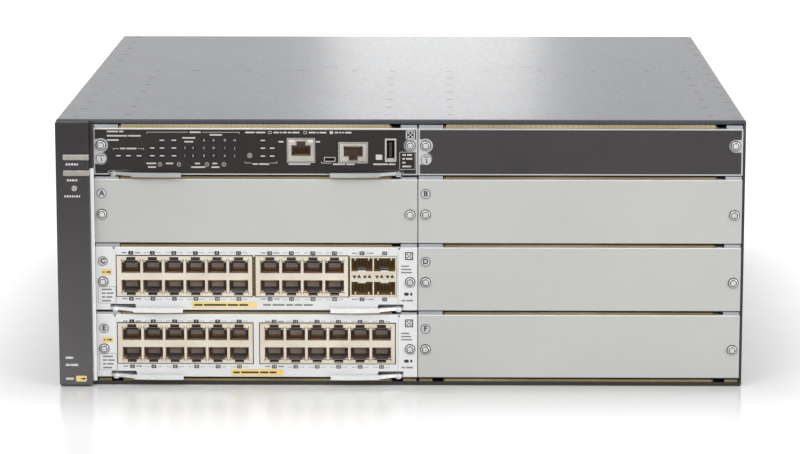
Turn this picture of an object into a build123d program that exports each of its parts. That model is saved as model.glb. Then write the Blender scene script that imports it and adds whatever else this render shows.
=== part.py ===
"""A rack-height chassis switch with plug-in modules, built piece by piece in millimetres.

+Z is up, -Y is the front with the plug-in modules and +X is the right-hand side seen from the front.
The origin is at the centre of the footprint, on the surface that the chassis stands on.
"""

from build123d import *
import os

# Outer sizes of the chassis
chassis_width = 444.5
chassis_height = 175.3
chassis_depth = 444.0
bezel_depth = 7.0
handle_depth = 15.0

# Sheet metal
wall = 1.5
bend_radius = 1.4
face_sheet = 1.2
grille_sheet = 1.0
fit_gap = 0.3
seam = 0.15

# Rows of plug-in slots: four rows in two columns
row_first_z = 5.2
top_margin = 5.7
management_face_height = 30.6
row_gap = 2.8
column_gap = 0.6
left_margin = 24.15
right_margin = 1.75

# Top cover and tub
cover_flange = 14.0
cover_lip = 2.6
end_lip = 10.0
hem_height = 2.4
hem_depth = 3.0
joggle_overlap = 4.0

# Plug-in modules
module_depth = 262.0
tray_inset = 3.0
tray_rise = 2.4
tray_side_inset = 6.0
tray_side_height = 6.0
face_flange = 14.0
blank_flange = 18.0
board_rise = 7.7
management_board_rise = 4.2
board_sheet = 1.6
board_inset = 11.0
screw_inset = 4.7
screw_below_middle = 2.1
management_screw_rise = 19.4
badge_drop = 9.4
badge_radius = 3.3
badge_recess = 0.3
notch_inset = 11.9
notch_width = 2.5
notch_depth = 2.0

# Contact strips between the rows
gasket_height = 1.7
gasket_inset = 16.6
gasket_start = 0.9
gasket_depth = 7.5

# Captive screws
screw_head_radius = 3.0
screw_head_height = 1.8
screw_shank_radius = 1.45
screw_length = 21.0
screw_slot_width = 0.8
screw_slot_depth = 1.0
running_gap = 0.05

# Ejector levers
lever_sheet = 2.2
lever_bar_height = 2.9
lever_bar_drop = 0.9
lever_length = 44.4
lever_pivot_inset = 12.2
lever_pivot_depth = 3.0
lever_eye_radius = 2.8
lever_pin_radius = 1.3
lever_arm_width = 3.2
lever_bow = 1.2
lever_reach = 12.0
lever_tooth = 7.0
lever_slot_before = 3.2
lever_slot_after = 13.6
lever_slot_height = 3.1
lever_drop = 0.2

# Card cage
cage_sheet = 1.2
guide_width = 4.5
guide_groove = 3.0
guide_height = 4.8
guide_clearance = 0.3
guide_start = 26.0
guide_length = 230.0
tab_depth = 1.5
tab_start = 18.5
tab_width = 8.0
tab_height = 12.0
backplane_offset = 276.0
backplane_sheet = 3.0
socket_width = 60.0
socket_depth = 9.0
socket_height = 9.0
socket_gap = 0.3

# Network jacks
jack_pitch = 14.0
jack_margin = 3.0
jack_end_margin = 2.6
jack_opening = 12.4
jack_proud = 0.6
jack_depth = 26.0
jack_cavity = 13.0
jack_rise = 9.3
jack_height = 26.6
jack_tab_width = 6.0
jack_tab_step = 8.6
jack_tab_step_height = 1.2
upper_port_low = 24.7
upper_port_high = 32.0
upper_tab_high = 35.3
lower_port_low = 12.8
lower_port_high = 20.1
lower_tab_low = 9.9
jack_group_left = 13.7
jack_group_gap = 2.3
card_e_group_gap = 4.8
window_gap = 0.3

# Small-form transceiver cages
cage_block_width = 30.2
cage_block_depth = 52.0
cage_cavity = 44.0
cage_cavity_width = 13.9
cage_cavity_height = 8.8
cage_wall = 0.8
cage_strip = 6.9
cage_start_gap = 1.3

# Management module: left edges and widths of what shows on its face, measured from its left edge
network_jack_left = 124.8
network_jack_width = 18.2
network_jack_rise = 8.3
network_jack_height = 16.1
console_jack_left = 158.0
console_jack_width = 19.1
console_jack_height = 13.5
single_port_width = 12.5
single_port_height = 6.9
network_port_rise = 4.5
console_port_rise = 3.9
single_tab_height = 2.6
micro_socket_left = 148.7
micro_socket_width = 7.4
micro_socket_height = 3.1
micro_socket_rise = 8.9
tall_socket_left = 188.0
tall_socket_width = 7.4
tall_socket_height = 15.2
tall_socket_rise = 8.9
socket_shell = 1.1
overlay_sheet = 0.5
overlay_margin = 1.0
overlay_low = 1.1
overlay_notch = 4.7
overlay_right_notch = 4.2
mode_button_left = 100.8
mode_button_rise = 12.9
mode_button_radius = 1.8
mode_button_length = 6.0
mode_button_proud = 0.9
pinhole_radius = 1.0
pinhole_plunger_radius = 0.8
pinhole_plunger_length = 7.0
pinhole_recess = 0.9
pinhole_rise = 7.0
pinhole_lefts = {"reset_button": 42.8, "clear_button": 55.0, "shutdown_button": 73.1, "standby_button": 84.1}
management_badge_rise = 10.8
management_badge_radius = 3.7
foot_start = 3.0

# Front bezel
bezel_wall = 1.6
bezel_base_gap = 1.0
bezel_top_gap = 1.0
bezel_right_gap = 2.5
bezel_step_lift = 4.8
bezel_step_depth = 3.0
light_bar_length = 16.7
light_bar_height = 4.8
power_bar_drop = 24.0
fault_bar_drop = 34.3
locator_drop = 44.2
locator_radius = 2.3
locator_inset = 11.9
led_board_below = 6.1
led_board_above = 8.7
led_board_sheet = 1.2
bar_depth = 4.6

# Ventilation slots in the sides
vent_start = 40.0
vent_length = 200.0
vent_low = 24.0
vent_top_gap = 42.3
vent_lap = 4.0
vent_slot_length = 14.0
vent_slot_height = 4.0
vent_slot_pitch_y = 18.0
vent_slot_pitch_z = 8.0

# Rack bracket holes in the sides
bracket_hole_radius = 2.1
bracket_hole_start = 14.0
bracket_spacing_y = 18.0
bracket_spacing_z = 76.0
bracket_mid_z = 66.0

# Rear bays
rear_sheet = 1.5
bay_low = 14.0
bay_top_gap = 14.3
bay_lap = 3.5
fan_bay_inset = 8.25
supply_bay_inset = 6.25
supply_width = 146.0
bay_wall = 1.2
bay_gap = 8.0
supply_gap = 8.0
shelf_gap = 0.1
panel_sheet = 1.2
supply_depth = 148.0
supply_sheet = 1.0
supply_handle_drop = 18.3
supply_core_drop = 26.3
supply_slot_low = 8.0
supply_slot_drop = 10.3
supply_slot_gap = 6.0
fan_size = 120.0
fan_depth = 32.0
fan_rim = 3.5
fan_bay_margin = 4.0
fan_hub_radius = 21.0
fan_blades = 7
fan_blade_sheet = 2.0
fan_blade_gap = 2.0
fan_blade_width = 22.0
fan_blade_pitch_deg = 32.0
fan_shaft_radius = 2.0
fan_strut_width = 5.0
fan_strut_depth = 4.0
fan_bracket = 1.2
fan_bracket_depth = 36.0
guard_ring_count = 5
guard_wire_radius = 0.9
guard_first_radius = 12.0
guard_edge_gap = 2.1
guard_seat = 0.4
inlet_width = 30.0
inlet_height = 24.0
inlet_depth = 20.0
inlet_wall = 2.0
inlet_pin_recess = 6.0
grip_radius = 2.5
grip_span = 60.0
supply_grip_span = 26.0

# Cover marks: short pressed dashes in rows and columns
mark_length = 4.2
mark_width = 1.1
mark_depth = 0.4
mark_edge_left_inset = 12.9
mark_edge_right_inset = 5.5
mark_edge_count = 13
mark_edge_pitch = 35.6
mark_edge_start = 10.0
mark_inner_insets = (44.6, 213.6, 254.3, 422.9)
mark_inner_count = 7
mark_inner_pitch = 35.8
mark_inner_start = 21.5
mark_row_insets = (71.6, 281.0)
mark_row_count = 4
mark_row_pitch = 38.4
mark_row_start = 239.7
mark_pair_insets = (166.0, 171.5, 307.2, 312.7)
mark_pair_start = 260.4

# Cover screws
cover_screw_radius = 1.5
cover_screw_head_radius = 2.8
cover_screw_head_height = 0.9
cover_screw_count = 4
cover_screw_gap = 0.1

# Places worked out from the sizes above
half_width = chassis_width / 2
total_depth = bezel_depth + chassis_depth + handle_depth
front_y = -total_depth / 2 + bezel_depth
rear_y = front_y + chassis_depth
tub_top = chassis_height - cover_flange - fit_gap
bay_left = -half_width + left_margin
bay_right = half_width - right_margin
column_width = (bay_right - bay_left - column_gap) / 2
column_lefts = (bay_left, bay_left + column_width + column_gap)
divider_x = bay_left + column_width + column_gap / 2
backplane_y = front_y + backplane_offset
face_height = (chassis_height - row_first_z - top_margin - management_face_height) / 3 - row_gap
row_pitch = face_height + row_gap
row_e_z = row_first_z
row_c_z = row_e_z + row_pitch
row_a_z = row_c_z + row_pitch
row_m_z = row_a_z + row_pitch
row_bottoms = (row_e_z, row_c_z, row_a_z, row_m_z)
screw_rise = face_height / 2 - screw_below_middle
badge_rise = face_height - badge_drop
bezel_step_rise = row_m_z + bezel_step_lift
power_bar_rise = chassis_height - power_bar_drop
fault_bar_rise = chassis_height - fault_bar_drop
locator_rise = chassis_height - locator_drop
vent_high = chassis_height - vent_top_gap
side_inner = half_width - wall - grille_sheet
cage_left_x = bay_left - fit_gap - cage_sheet
cover_under = chassis_height - wall
rear_panel_y = rear_y - wall
bay_high = chassis_height - bay_top_gap
supply_bay_right = half_width - supply_bay_inset
supply_bay_left = supply_bay_right - supply_width
fan_bay_left = -half_width + fan_bay_inset
fan_bay_right = supply_bay_left - bay_gap
supply_middle = (bay_low + bay_high) / 2
fan_centre_x = (fan_bay_left + fan_bay_right) / 2
fan_centre_z = (bay_low + bay_high) / 2
fan_pitch = (fan_bay_right - fan_bay_left) / 2 - fan_bay_margin
fan_bore_radius = fan_size / 2 - fan_rim
fan_blade_radius = fan_bore_radius - fan_blade_gap
guard_ring_pitch = (fan_bore_radius - guard_edge_gap - guard_first_radius) / (guard_ring_count - 1)
cover_screw_z = chassis_height - cover_flange / 2


def block(x0, x1, y0, y1, z0, z1):
    """A box between two corners."""
    centre = ((x0 + x1) / 2, (y0 + y1) / 2, (z0 + z1) / 2)
    return Pos(*centre) * Box(abs(x1 - x0), abs(y1 - y0), abs(z1 - z0))


def rod_y(x, z, y0, y1, radius):
    """A round bar along Y."""
    return Pos(x, (y0 + y1) / 2, z) * Rot(90, 0, 0) * Cylinder(radius, abs(y1 - y0))


def rod_x(y, z, x0, x1, radius):
    """A round bar along X."""
    return Pos((x0 + x1) / 2, y, z) * Rot(0, 90, 0) * Cylinder(radius, abs(x1 - x0))


def rod_z(x, y, z0, z1, radius):
    """A round bar along Z."""
    return Pos(x, y, (z0 + z1) / 2) * Cylinder(radius, abs(z1 - z0))


def edges_at(shape, axis, **at):
    """Edges of a shape along an axis, at the given coordinates."""
    found = shape.edges().filter_by(axis)
    for name, value in at.items():
        found = found.filter_by(lambda e, n=name, v=value: abs(getattr(e.center(), n) - v) < 0.01)
    return found


def cut_all(shape, tools):
    """A shape with a list of cutters taken from it in one operation."""
    return shape - tools if tools else shape


def save(name, shape):
    """Writes one node, made of one solid or of several."""
    shape.label = name
    export_step(shape, f"parts/{name}.step")


def group(solids):
    """Several separate solids kept in one node."""
    flat = [s for item in solids for s in item.solids()]
    return Compound(children=flat)


# Captive screws
def screw(x, z, seat_y):
    """A captive screw whose head lies on a face at seat_y, with a cross recess."""
    head = rod_y(x, z, seat_y - screw_head_height, seat_y, screw_head_radius)
    head = fillet(head.edges().filter_by(GeomType.CIRCLE).sort_by(Axis.Y)[0], screw_head_height * 0.35)
    shank = rod_y(x, z, seat_y, seat_y + screw_length, screw_shank_radius)
    whole = head + shank
    half_slot = screw_slot_width / 2
    reach = screw_head_radius * 0.62
    top = seat_y - screw_head_height
    bar_a = block(x - reach, x + reach, top - 1, top + screw_slot_depth, z - half_slot, z + half_slot)
    bar_b = block(x - half_slot, x + half_slot, top - 1, top + screw_slot_depth, z - reach, z + reach)
    return whole - bar_a - bar_b


def rise_of_screws(row_z):
    """Height of a row's screws above the bottom of its faces."""
    return management_screw_rise if row_z == row_m_z else screw_rise


def board_top(row_z):
    """Height of the top of the board in a row."""
    return row_z + (management_board_rise if row_z == row_m_z else board_rise) + board_sheet


def screw_places(left_x, row_z):
    """The two screw centres of one slot: left and right."""
    z = row_z + rise_of_screws(row_z)
    return ((left_x + screw_inset, z), (left_x + column_width - screw_inset, z))


def screw_hole(x, z, y0, y1):
    """The round hole that a captive screw runs through."""
    return rod_y(x, z, y0 - 1, y1 + 1, screw_shank_radius + running_gap)


# The lever stays in the plane under the tray and swings forwards about a pin near the module's corner
def lever_pivot(left_x, side):
    """The lever pin's centre in X and Y, on the left or right side of a module."""
    inset = lever_pivot_inset
    x = left_x + inset if side == "left" else left_x + column_width - inset
    return x, front_y + lever_pivot_depth


def lever(left_x, row_z, side):
    """An ejector lever lying closed along the bottom of its module's face."""
    half = lever_arm_width / 2
    knee = lever_reach
    knee_y = -lever_pivot_depth - half - fit_gap * 2
    tip_y = knee_y - lever_bow
    neck = make_face(Polyline((0, half), (knee, knee_y + half), (knee + 3, knee_y + half), (knee + 3, knee_y - half),
                              (knee, knee_y - half), (0, -half), (0, half)))
    tooth_centre = -(lever_eye_radius + lever_tooth) / 2
    tooth = Pos(tooth_centre, 0) * Rectangle(lever_tooth - lever_eye_radius + 1.5, half * 1.4)
    plan = neck + Circle(lever_eye_radius) + tooth - Circle(lever_pin_radius + running_gap)
    bar = make_face(Polyline((knee, knee_y + half), (lever_length, tip_y + half), (lever_length, tip_y - half * 0.6),
                             (lever_length * 0.7, tip_y - half), (knee, knee_y - half), (knee, knee_y + half)))
    grip_bar = Pos(0, 0, lever_drop - lever_bar_drop) * extrude(bar, lever_bar_height)
    grip_bar = fillet(grip_bar.edges().filter_by(Axis.Z).sort_by(Axis.X)[-2:], half * 0.5)
    grip_bar = chamfer(grip_bar.faces().sort_by(Axis.X)[0].edges().filter_by(Axis.Y), lever_bar_drop * 0.6)
    solid = extrude(plan, lever_sheet) + grip_bar
    if side == "right":
        solid = mirror(solid, Plane.YZ)
    x, y = lever_pivot(left_x, side)
    return Pos(x, y, row_z - lever_drop) * solid


def lever_pin(left_x, row_z, side):
    """The rivet that carries a lever under the tray."""
    x, y = lever_pivot(left_x, side)
    under = row_z - lever_drop - fit_gap
    shank = rod_z(x, y, under - 0.1, row_z + tray_rise + face_sheet / 2, lever_pin_radius)
    head = rod_z(x, y, under - 0.7, under, lever_pin_radius * 1.8)
    return shank + head


def lever_slots(left_x, row_z):
    """Room in the face and the tray for the two levers of a module."""
    tools = []
    for side, sign in (("left", 1), ("right", -1)):
        x, y = lever_pivot(left_x, side)
        a, b = x - sign * lever_slot_before, x + sign * lever_slot_after
        tools.append(block(a, b, front_y - 1, front_y + face_sheet + 1, row_z - 1, row_z + lever_slot_height))
    return tools


# Faces
def face_plate(left_x, row_z, height, flange, lower_flange=False):
    """A folded face: the plate, its flange along the top, maybe one below, and short returns at both ends."""
    right_x = left_x + column_width
    top = row_z + height
    plate = block(left_x, right_x, front_y, front_y + face_sheet, row_z, top)
    shelf = block(left_x, right_x, front_y, front_y + flange, top - face_sheet, top)
    if lower_flange:
        shelf += block(left_x, right_x, front_y, front_y + flange, row_z, row_z + face_sheet)
    ends = [
        block(left_x, left_x + face_sheet, front_y, front_y + flange * 0.6, row_z + height * 0.25, top),
        block(right_x - face_sheet, right_x, front_y, front_y + flange * 0.6, row_z + height * 0.25, top),
    ]
    whole = plate + shelf + ends[0] + ends[1]
    front_edges = edges_at(whole, Axis.X, Y=front_y, Z=top) + edges_at(whole, Axis.X, Y=front_y, Z=row_z)
    return fillet(front_edges, face_sheet * 0.6)


def badge_recess_tool(x, z, radius):
    """A shallow round place for a slot's letter."""
    return rod_y(x, z, front_y - 1, front_y + badge_recess, radius)


def edge_notches(left_x, row_z):
    """Two V-shaped notches in the top edge of a line card's face."""
    top = row_z + face_height
    half = notch_width / 2
    tools = []
    for x in (left_x + notch_inset, left_x + column_width - notch_inset):
        profile = Plane.XZ * make_face(Polyline((x - half, top + 0.1), (x + half, top + 0.1), (x, top - notch_depth),
                                                (x - half, top + 0.1)))
        tools.append(Pos(0, front_y + face_sheet + 0.4, 0) * extrude(profile, face_sheet + 1.4))
    return tools


def blank_cover(left_x, row_z, height, badge=True):
    """A filler panel over an empty slot."""
    whole = face_plate(left_x, row_z, height, blank_flange, lower_flange=True)
    tools = [screw_hole(x, z, front_y, front_y + face_sheet) for x, z in screw_places(left_x, row_z)]
    if badge:
        tools.append(badge_recess_tool(left_x + screw_inset, row_z + badge_rise, badge_radius))
    return cut_all(whole, tools)


# Trays of the plug-in modules
def tray(left_x, row_z, height, windows):
    """A module's folded tray: face, floor plate that runs in the guides, and two stiffening sides."""
    right_x = left_x + column_width
    floor_z = row_z + tray_rise
    whole = face_plate(left_x, row_z, height, face_flange)
    whole += block(left_x + tray_inset, right_x - tray_inset, front_y + face_sheet / 2, front_y + module_depth,
                   floor_z, floor_z + face_sheet)
    side_x = tray_inset + tray_side_inset
    for x in (left_x + side_x, right_x - side_x - face_sheet):
        whole += block(x, x + face_sheet, front_y + face_sheet / 2, front_y + module_depth,
                       floor_z, floor_z + tray_side_height)
    for x, y in board_post_places(left_x):
        whole += rod_z(x, y, floor_z, board_top(row_z) - board_sheet, 2.5)
    tools = lever_slots(left_x, row_z) + windows
    tools += [screw_hole(x, z, front_y, front_y + face_sheet) for x, z in screw_places(left_x, row_z)]
    whole = cut_all(whole, tools)
    return whole + lever_pin(left_x, row_z, "left") + lever_pin(left_x, row_z, "right")


def board_post_places(left_x):
    """Centres in X and Y of the four posts that a board stands on."""
    inset = board_inset + 8
    near, far = front_y + 40, front_y + module_depth - 20
    return [(x, y) for x in (left_x + inset, left_x + column_width - inset) for y in (near, far)]


def board(left_x, row_z, start, chips):
    """A circuit board on its posts, with its chips, coolers and rear plug as separate solids."""
    top = board_top(row_z)
    low = top - board_sheet
    left, right = left_x + board_inset, left_x + column_width - board_inset
    back = front_y + module_depth
    solids = [block(left, right, front_y + start, back, low, top)]
    middle = left_x + column_width / 2
    plug_end = backplane_y - socket_depth - socket_gap
    solids.append(block(middle - socket_width / 2, middle + socket_width / 2, back - 10, plug_end,
                        top, top + socket_height))
    for x, y, width, depth, height in chips:
        solids.append(block(left_x + x, left_x + x + width, front_y + y, front_y + y + depth, top, top + height))
    return solids


def cooler(left_x, row_z, x, y, width, depth, height, fins):
    """A finned cooler on a board."""
    top = board_top(row_z)
    base = block(left_x + x, left_x + x + width, front_y + y, front_y + y + depth, top, top + 3)
    pitch = (width - 1.2) / (fins - 1)
    for i in range(fins):
        fin_x = left_x + x + i * pitch
        base += block(fin_x, fin_x + 1.2, front_y + y, front_y + y + depth, top + 2, top + height)
    return base


# Network jacks
def port_cutters(x, low, high, tab_to, depth):
    """The cavity of one jack: a wide room and a stepped notch for the plug's latch."""
    front = front_y - jack_proud - 1
    back = front_y - jack_proud + depth
    middle = x + jack_opening / 2
    upward = tab_to > high
    edge = high if upward else low
    step = edge + jack_tab_step_height if upward else edge - jack_tab_step_height
    room = block(x, x + jack_opening, front, back, low, high)
    wide = block(middle - jack_tab_step / 2, middle + jack_tab_step / 2, front, back, edge, step)
    narrow = block(middle - jack_tab_width / 2, middle + jack_tab_width / 2, front, back, edge, tab_to)
    return room + wide + narrow


def jack_block_width(columns):
    """Outer width of a shielded block of stacked jacks."""
    return jack_margin + (columns - 1) * jack_pitch + jack_opening + jack_end_margin


def jack_block(block_x, row_z, columns):
    """A shielded block of jacks in two rows, latches outwards."""
    width = jack_block_width(columns)
    low = row_z + jack_rise
    whole = block(block_x, block_x + width, front_y - jack_proud, front_y + jack_depth, low, low + jack_height)
    cutters = []
    for i in range(columns):
        x = block_x + jack_margin + i * jack_pitch
        cutters.append(port_cutters(x, row_z + upper_port_low, row_z + upper_port_high,
                                    row_z + upper_tab_high, jack_cavity))
        cutters.append(port_cutters(x, row_z + lower_port_low, row_z + lower_port_high,
                                    row_z + lower_tab_low, jack_cavity))
    return cut_all(whole, cutters)


def jack_window(block_x, row_z, width, height):
    """The opening in a face around a block that starts at the board's top."""
    low = row_z + jack_rise
    return block(block_x - window_gap, block_x + width + window_gap, front_y - 1, front_y + face_sheet + 1,
                 low - window_gap, low + height + window_gap)


def transceiver_cage(block_x, row_z):
    """Four small-form cages, two over two, with an indicator strip between the rows."""
    low = row_z + jack_rise
    whole = block(block_x, block_x + cage_block_width, front_y - jack_proud, front_y + cage_block_depth,
                  low, low + jack_height)
    strip_low = low + (jack_height - cage_strip) / 2
    cutters = []
    for i in range(2):
        x = block_x + cage_wall + i * (cage_cavity_width + cage_wall)
        for z in (strip_low - cage_cavity_height, strip_low + cage_strip):
            cutters.append(block(x, x + cage_cavity_width, front_y - jack_proud - 1, front_y + cage_cavity,
                                 z, z + cage_cavity_height))
    return cut_all(whole, cutters)


def single_jack(block_x, low, width, height, port_rise, tab_up):
    """One shielded jack on the management module."""
    whole = block(block_x, block_x + width, front_y - overlay_sheet - jack_proud, front_y + jack_depth,
                  low, low + height)
    x = block_x + (width - single_port_width) / 2
    middle = block_x + width / 2
    port_low = low + port_rise
    front = front_y - overlay_sheet - jack_proud
    room = block(x, x + single_port_width, front - 1, front + jack_cavity, port_low, port_low + single_port_height)
    if tab_up:
        tab_low, tab_high = port_low + single_port_height, port_low + single_port_height + single_tab_height
    else:
        tab_low, tab_high = port_low - single_tab_height, port_low
    notch = block(middle - jack_tab_width / 2, middle + jack_tab_width / 2, front - 1, front + jack_cavity,
                  tab_low, tab_high)
    foot = block(block_x, block_x + width, front_y + foot_start + 1, front_y + jack_depth, board_top(row_m_z), low + 0.5)
    return whole - room - notch + foot


# Chassis
def make_tub():
    """Floor and sides in one folded sheet, with tabs that the cover and the screws reach."""
    whole = block(-half_width, half_width, front_y, rear_y, 0, wall)
    whole += block(-half_width, half_width, front_y, front_y + hem_depth, 0, hem_height)
    whole += block(-half_width, half_width, rear_y - wall, rear_y, 0, end_lip)
    for sign in (-1, 1):
        whole += block(sign * (half_width - wall), sign * half_width, front_y, rear_y, 0, tub_top)
    whole = fillet(edges_at(whole, Axis.Y, Z=0), bend_radius)
    for sign in (-1, 1):
        inner, outer = half_width - 2 * wall - seam, half_width - wall - seam
        foot = tub_top - joggle_overlap
        whole += block(sign * inner, sign * outer, front_y + guide_start, rear_panel_y - 4, foot, cover_under - fit_gap)
        whole += block(sign * inner, sign * (half_width - wall / 2), front_y + guide_start, rear_panel_y - 4,
                       foot, foot + wall)
    tools = []
    for row_z in row_bottoms:
        x, z = screw_places(column_lefts[1], row_z)[1]
        whole += block(bay_right + fit_gap - tab_width, half_width - wall / 2, front_y + tab_start,
                       front_y + tab_start + tab_depth, z - tab_height / 2, min(z + tab_height / 2, tub_top))
        tools.append(screw_hole(x, z, front_y + tab_start, front_y + tab_start + tab_depth))
    for sign in (-1, 1):
        tools.append(block(sign * (half_width - wall - 0.5), sign * (half_width + 1), front_y + vent_start,
                           front_y + vent_start + vent_length, vent_low, vent_high))
        tools += bracket_holes(sign)
        tools += [
            rod_x(y, cover_screw_z, sign * (half_width - 4), sign * (half_width + 1),
                  cover_screw_radius + cover_screw_gap)
            for y in cover_screw_ys()
        ]
    return cut_all(whole, tools)


def cover_screw_ys():
    """Places along the sides of the screws that hold the cover."""
    start, end = front_y + guide_start + 10, rear_y - 25
    step = (end - start) / (cover_screw_count - 1)
    return [start + i * step for i in range(cover_screw_count)]


def bracket_holes(sign):
    """Four holes for a rack bracket near the front of one side."""
    tools = []
    for i in (0, 1):
        y = front_y + bracket_hole_start + i * bracket_spacing_y
        for dz in (-bracket_spacing_z / 2, bracket_spacing_z / 2):
            tools.append(rod_x(y, bracket_mid_z + dz, sign * (half_width - wall - 1), sign * (half_width + 1),
                               bracket_hole_radius))
    return tools


def make_side_grille(sign):
    """A slotted panel inside the air opening of one side."""
    lap = vent_lap
    y0, y1 = front_y + vent_start - lap, front_y + vent_start + vent_length + lap
    inner, outer = sign * side_inner, sign * (half_width - wall)
    plate = block(inner, outer, y0, y1, vent_low - lap, vent_high + lap)
    slots_y = int((vent_length - vent_slot_length) // vent_slot_pitch_y) + 1
    slots_z = int((vent_high - vent_low - vent_slot_height) // vent_slot_pitch_z) + 1
    first_y = front_y + vent_start + (vent_length - vent_slot_length - (slots_y - 1) * vent_slot_pitch_y) / 2
    first_z = vent_low + (vent_high - vent_low - vent_slot_height - (slots_z - 1) * vent_slot_pitch_z) / 2
    tools = []
    for i in range(slots_y):
        for j in range(slots_z):
            y, z = first_y + i * vent_slot_pitch_y, first_z + j * vent_slot_pitch_z
            tools.append(block(sign * (side_inner - 1), sign * half_width, y, y + vent_slot_length,
                               z, z + vent_slot_height))
    return cut_all(plate, tools)


def mark_places():
    """Centres of the pressed dashes in the cover."""
    places = []
    for i in range(mark_edge_count):
        y = front_y + mark_edge_start + i * mark_edge_pitch
        places += [(-half_width + mark_edge_left_inset, y), (half_width - mark_edge_right_inset, y)]
    for inset in mark_inner_insets:
        for i in range(mark_inner_count):
            places.append((-half_width + inset, front_y + mark_inner_start + i * mark_inner_pitch))
    for inset in mark_row_insets:
        for i in range(mark_row_count):
            places.append((-half_width + inset + i * mark_row_pitch, front_y + mark_row_start))
    for inset in mark_pair_insets:
        places.append((-half_width + inset, front_y + mark_pair_start))
    return places


def make_cover():
    """The top sheet with its side flanges, front lip and rear lip, pressed with short dashes."""
    top = chassis_height
    low = top - cover_flange
    outer = block(-half_width, half_width, front_y, rear_y, low, top)
    inside = half_width - wall
    outer -= block(-inside, inside, front_y + wall, rear_y - wall, low - 1, cover_under)
    outer -= block(-inside, inside, front_y - 1, front_y + wall + 1, low - 1, top - cover_lip)
    outer -= block(-inside, inside, rear_y - wall - 1, rear_y + 1, low - 1, top - end_lip)
    round_edges = edges_at(outer, Axis.Y, Z=top) + edges_at(outer, Axis.X, Z=top, Y=front_y)
    outer = fillet(round_edges, bend_radius)
    tools = [
        block(x - mark_length / 2, x + mark_length / 2, y - mark_width / 2, y + mark_width / 2,
              top - mark_depth, top + 1)
        for x, y in mark_places()
    ]
    for sign in (-1, 1):
        for y in cover_screw_ys():
            tools.append(rod_x(y, cover_screw_z, sign * (inside - 1), sign * (half_width + 1),
                               cover_screw_radius + cover_screw_gap))
            tools.append(rod_x(y, cover_screw_z, sign * (half_width - cover_screw_head_height),
                               sign * (half_width + 1), cover_screw_head_radius + cover_screw_gap))
    return cut_all(outer, tools)


def make_cover_screws():
    """Flush screws in the cover's side flanges."""
    solids = []
    for sign in (-1, 1):
        for y in cover_screw_ys():
            head = rod_x(y, cover_screw_z, sign * (half_width - cover_screw_head_height), sign * half_width,
                         cover_screw_head_radius)
            shank = rod_x(y, cover_screw_z, sign * (half_width - 5), sign * (half_width - cover_screw_head_height / 2),
                          cover_screw_radius)
            slot = block(sign * (half_width - 0.5), sign * (half_width + 1), y - 1.8, y + 1.8,
                         cover_screw_z - 0.4, cover_screw_z + 0.4)
            solids.append(head + shank - slot)
    return solids


def make_cage_wall():
    """The cage's left wall with a front flange behind the bezel and tabs for the captive screws."""
    wall_top = cover_under - fit_gap
    web = block(cage_left_x, cage_left_x + cage_sheet, front_y, backplane_y, wall, wall_top)
    flange = block(-half_width + wall + fit_gap, cage_left_x + cage_sheet, front_y, front_y + cage_sheet,
                   hem_height + fit_gap, chassis_height - cover_lip - fit_gap)
    whole = web + flange
    whole -= block(-half_width, half_width, front_y - 1, front_y + hem_depth + fit_gap, 0, hem_height + fit_gap)
    tools = []
    for row_z in row_bottoms:
        x, z = screw_places(column_lefts[0], row_z)[0]
        whole += block(cage_left_x, bay_left - fit_gap + tab_width, front_y + tab_start,
                       front_y + tab_start + tab_depth, z - tab_height / 2, z + tab_height / 2)
        tools.append(screw_hole(x, z, front_y + tab_start, front_y + tab_start + tab_depth))
    for row_z in row_bottoms[:3]:
        tools.append(block(cage_left_x - 1, cage_left_x + cage_sheet + 1, front_y + guide_start + 20,
                           backplane_y - 30, row_z + 12, row_z + face_height - 8))
    top_gap = block(cage_left_x - 1, bay_left, front_y - 1, front_y + wall + fit_gap,
                    chassis_height - cover_lip - fit_gap, chassis_height)
    return cut_all(whole, tools + [top_gap])


def make_divider():
    """The wall between the two columns of slots, with tabs for the captive screws on both sides."""
    start, end = front_y + tab_start, front_y + tab_start + tab_depth
    whole = block(divider_x - cage_sheet / 2, divider_x + cage_sheet / 2, start, backplane_y,
                  wall, cover_under)
    tools = []
    for row_z in row_bottoms:
        z = row_z + rise_of_screws(row_z)
        whole += block(divider_x - tab_width, divider_x + tab_width, start, end, z - tab_height / 2,
                       z + tab_height / 2)
        for x in (screw_places(column_lefts[0], row_z)[1][0], screw_places(column_lefts[1], row_z)[0][0]):
            tools.append(screw_hole(x, z, start, end))
    return cut_all(whole, tools)


def make_guides():
    """Sixteen grooved rails that carry the trays, one at each side of every slot."""
    y0 = front_y + guide_start
    y1 = y0 + guide_length
    solids = []
    for row_z in row_bottoms:
        groove_low = row_z + tray_rise - guide_clearance
        groove_high = row_z + tray_rise + face_sheet + guide_clearance
        low = (groove_low + groove_high - guide_height) / 2
        on_grille = vent_low - vent_lap < low + guide_height and low < vent_high + vent_lap
        right_carrier = side_inner if on_grille else side_inner + grille_sheet
        carriers = (
            (cage_left_x + cage_sheet, cage_left_x + cage_sheet + guide_width, 1),
            (divider_x - cage_sheet / 2, divider_x - cage_sheet / 2 - guide_width, -1),
            (divider_x + cage_sheet / 2, divider_x + cage_sheet / 2 + guide_width, 1),
            (right_carrier, side_inner - guide_width, -1),
        )
        for x, inner, way in carriers:
            rail = block(x, inner, y0, y1, low, low + guide_height)
            rail -= block(inner + way, inner - way * guide_groove, y0 - 1, y1 + 1, groove_low, groove_high)
            solids.append(rail)
    return solids


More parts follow.
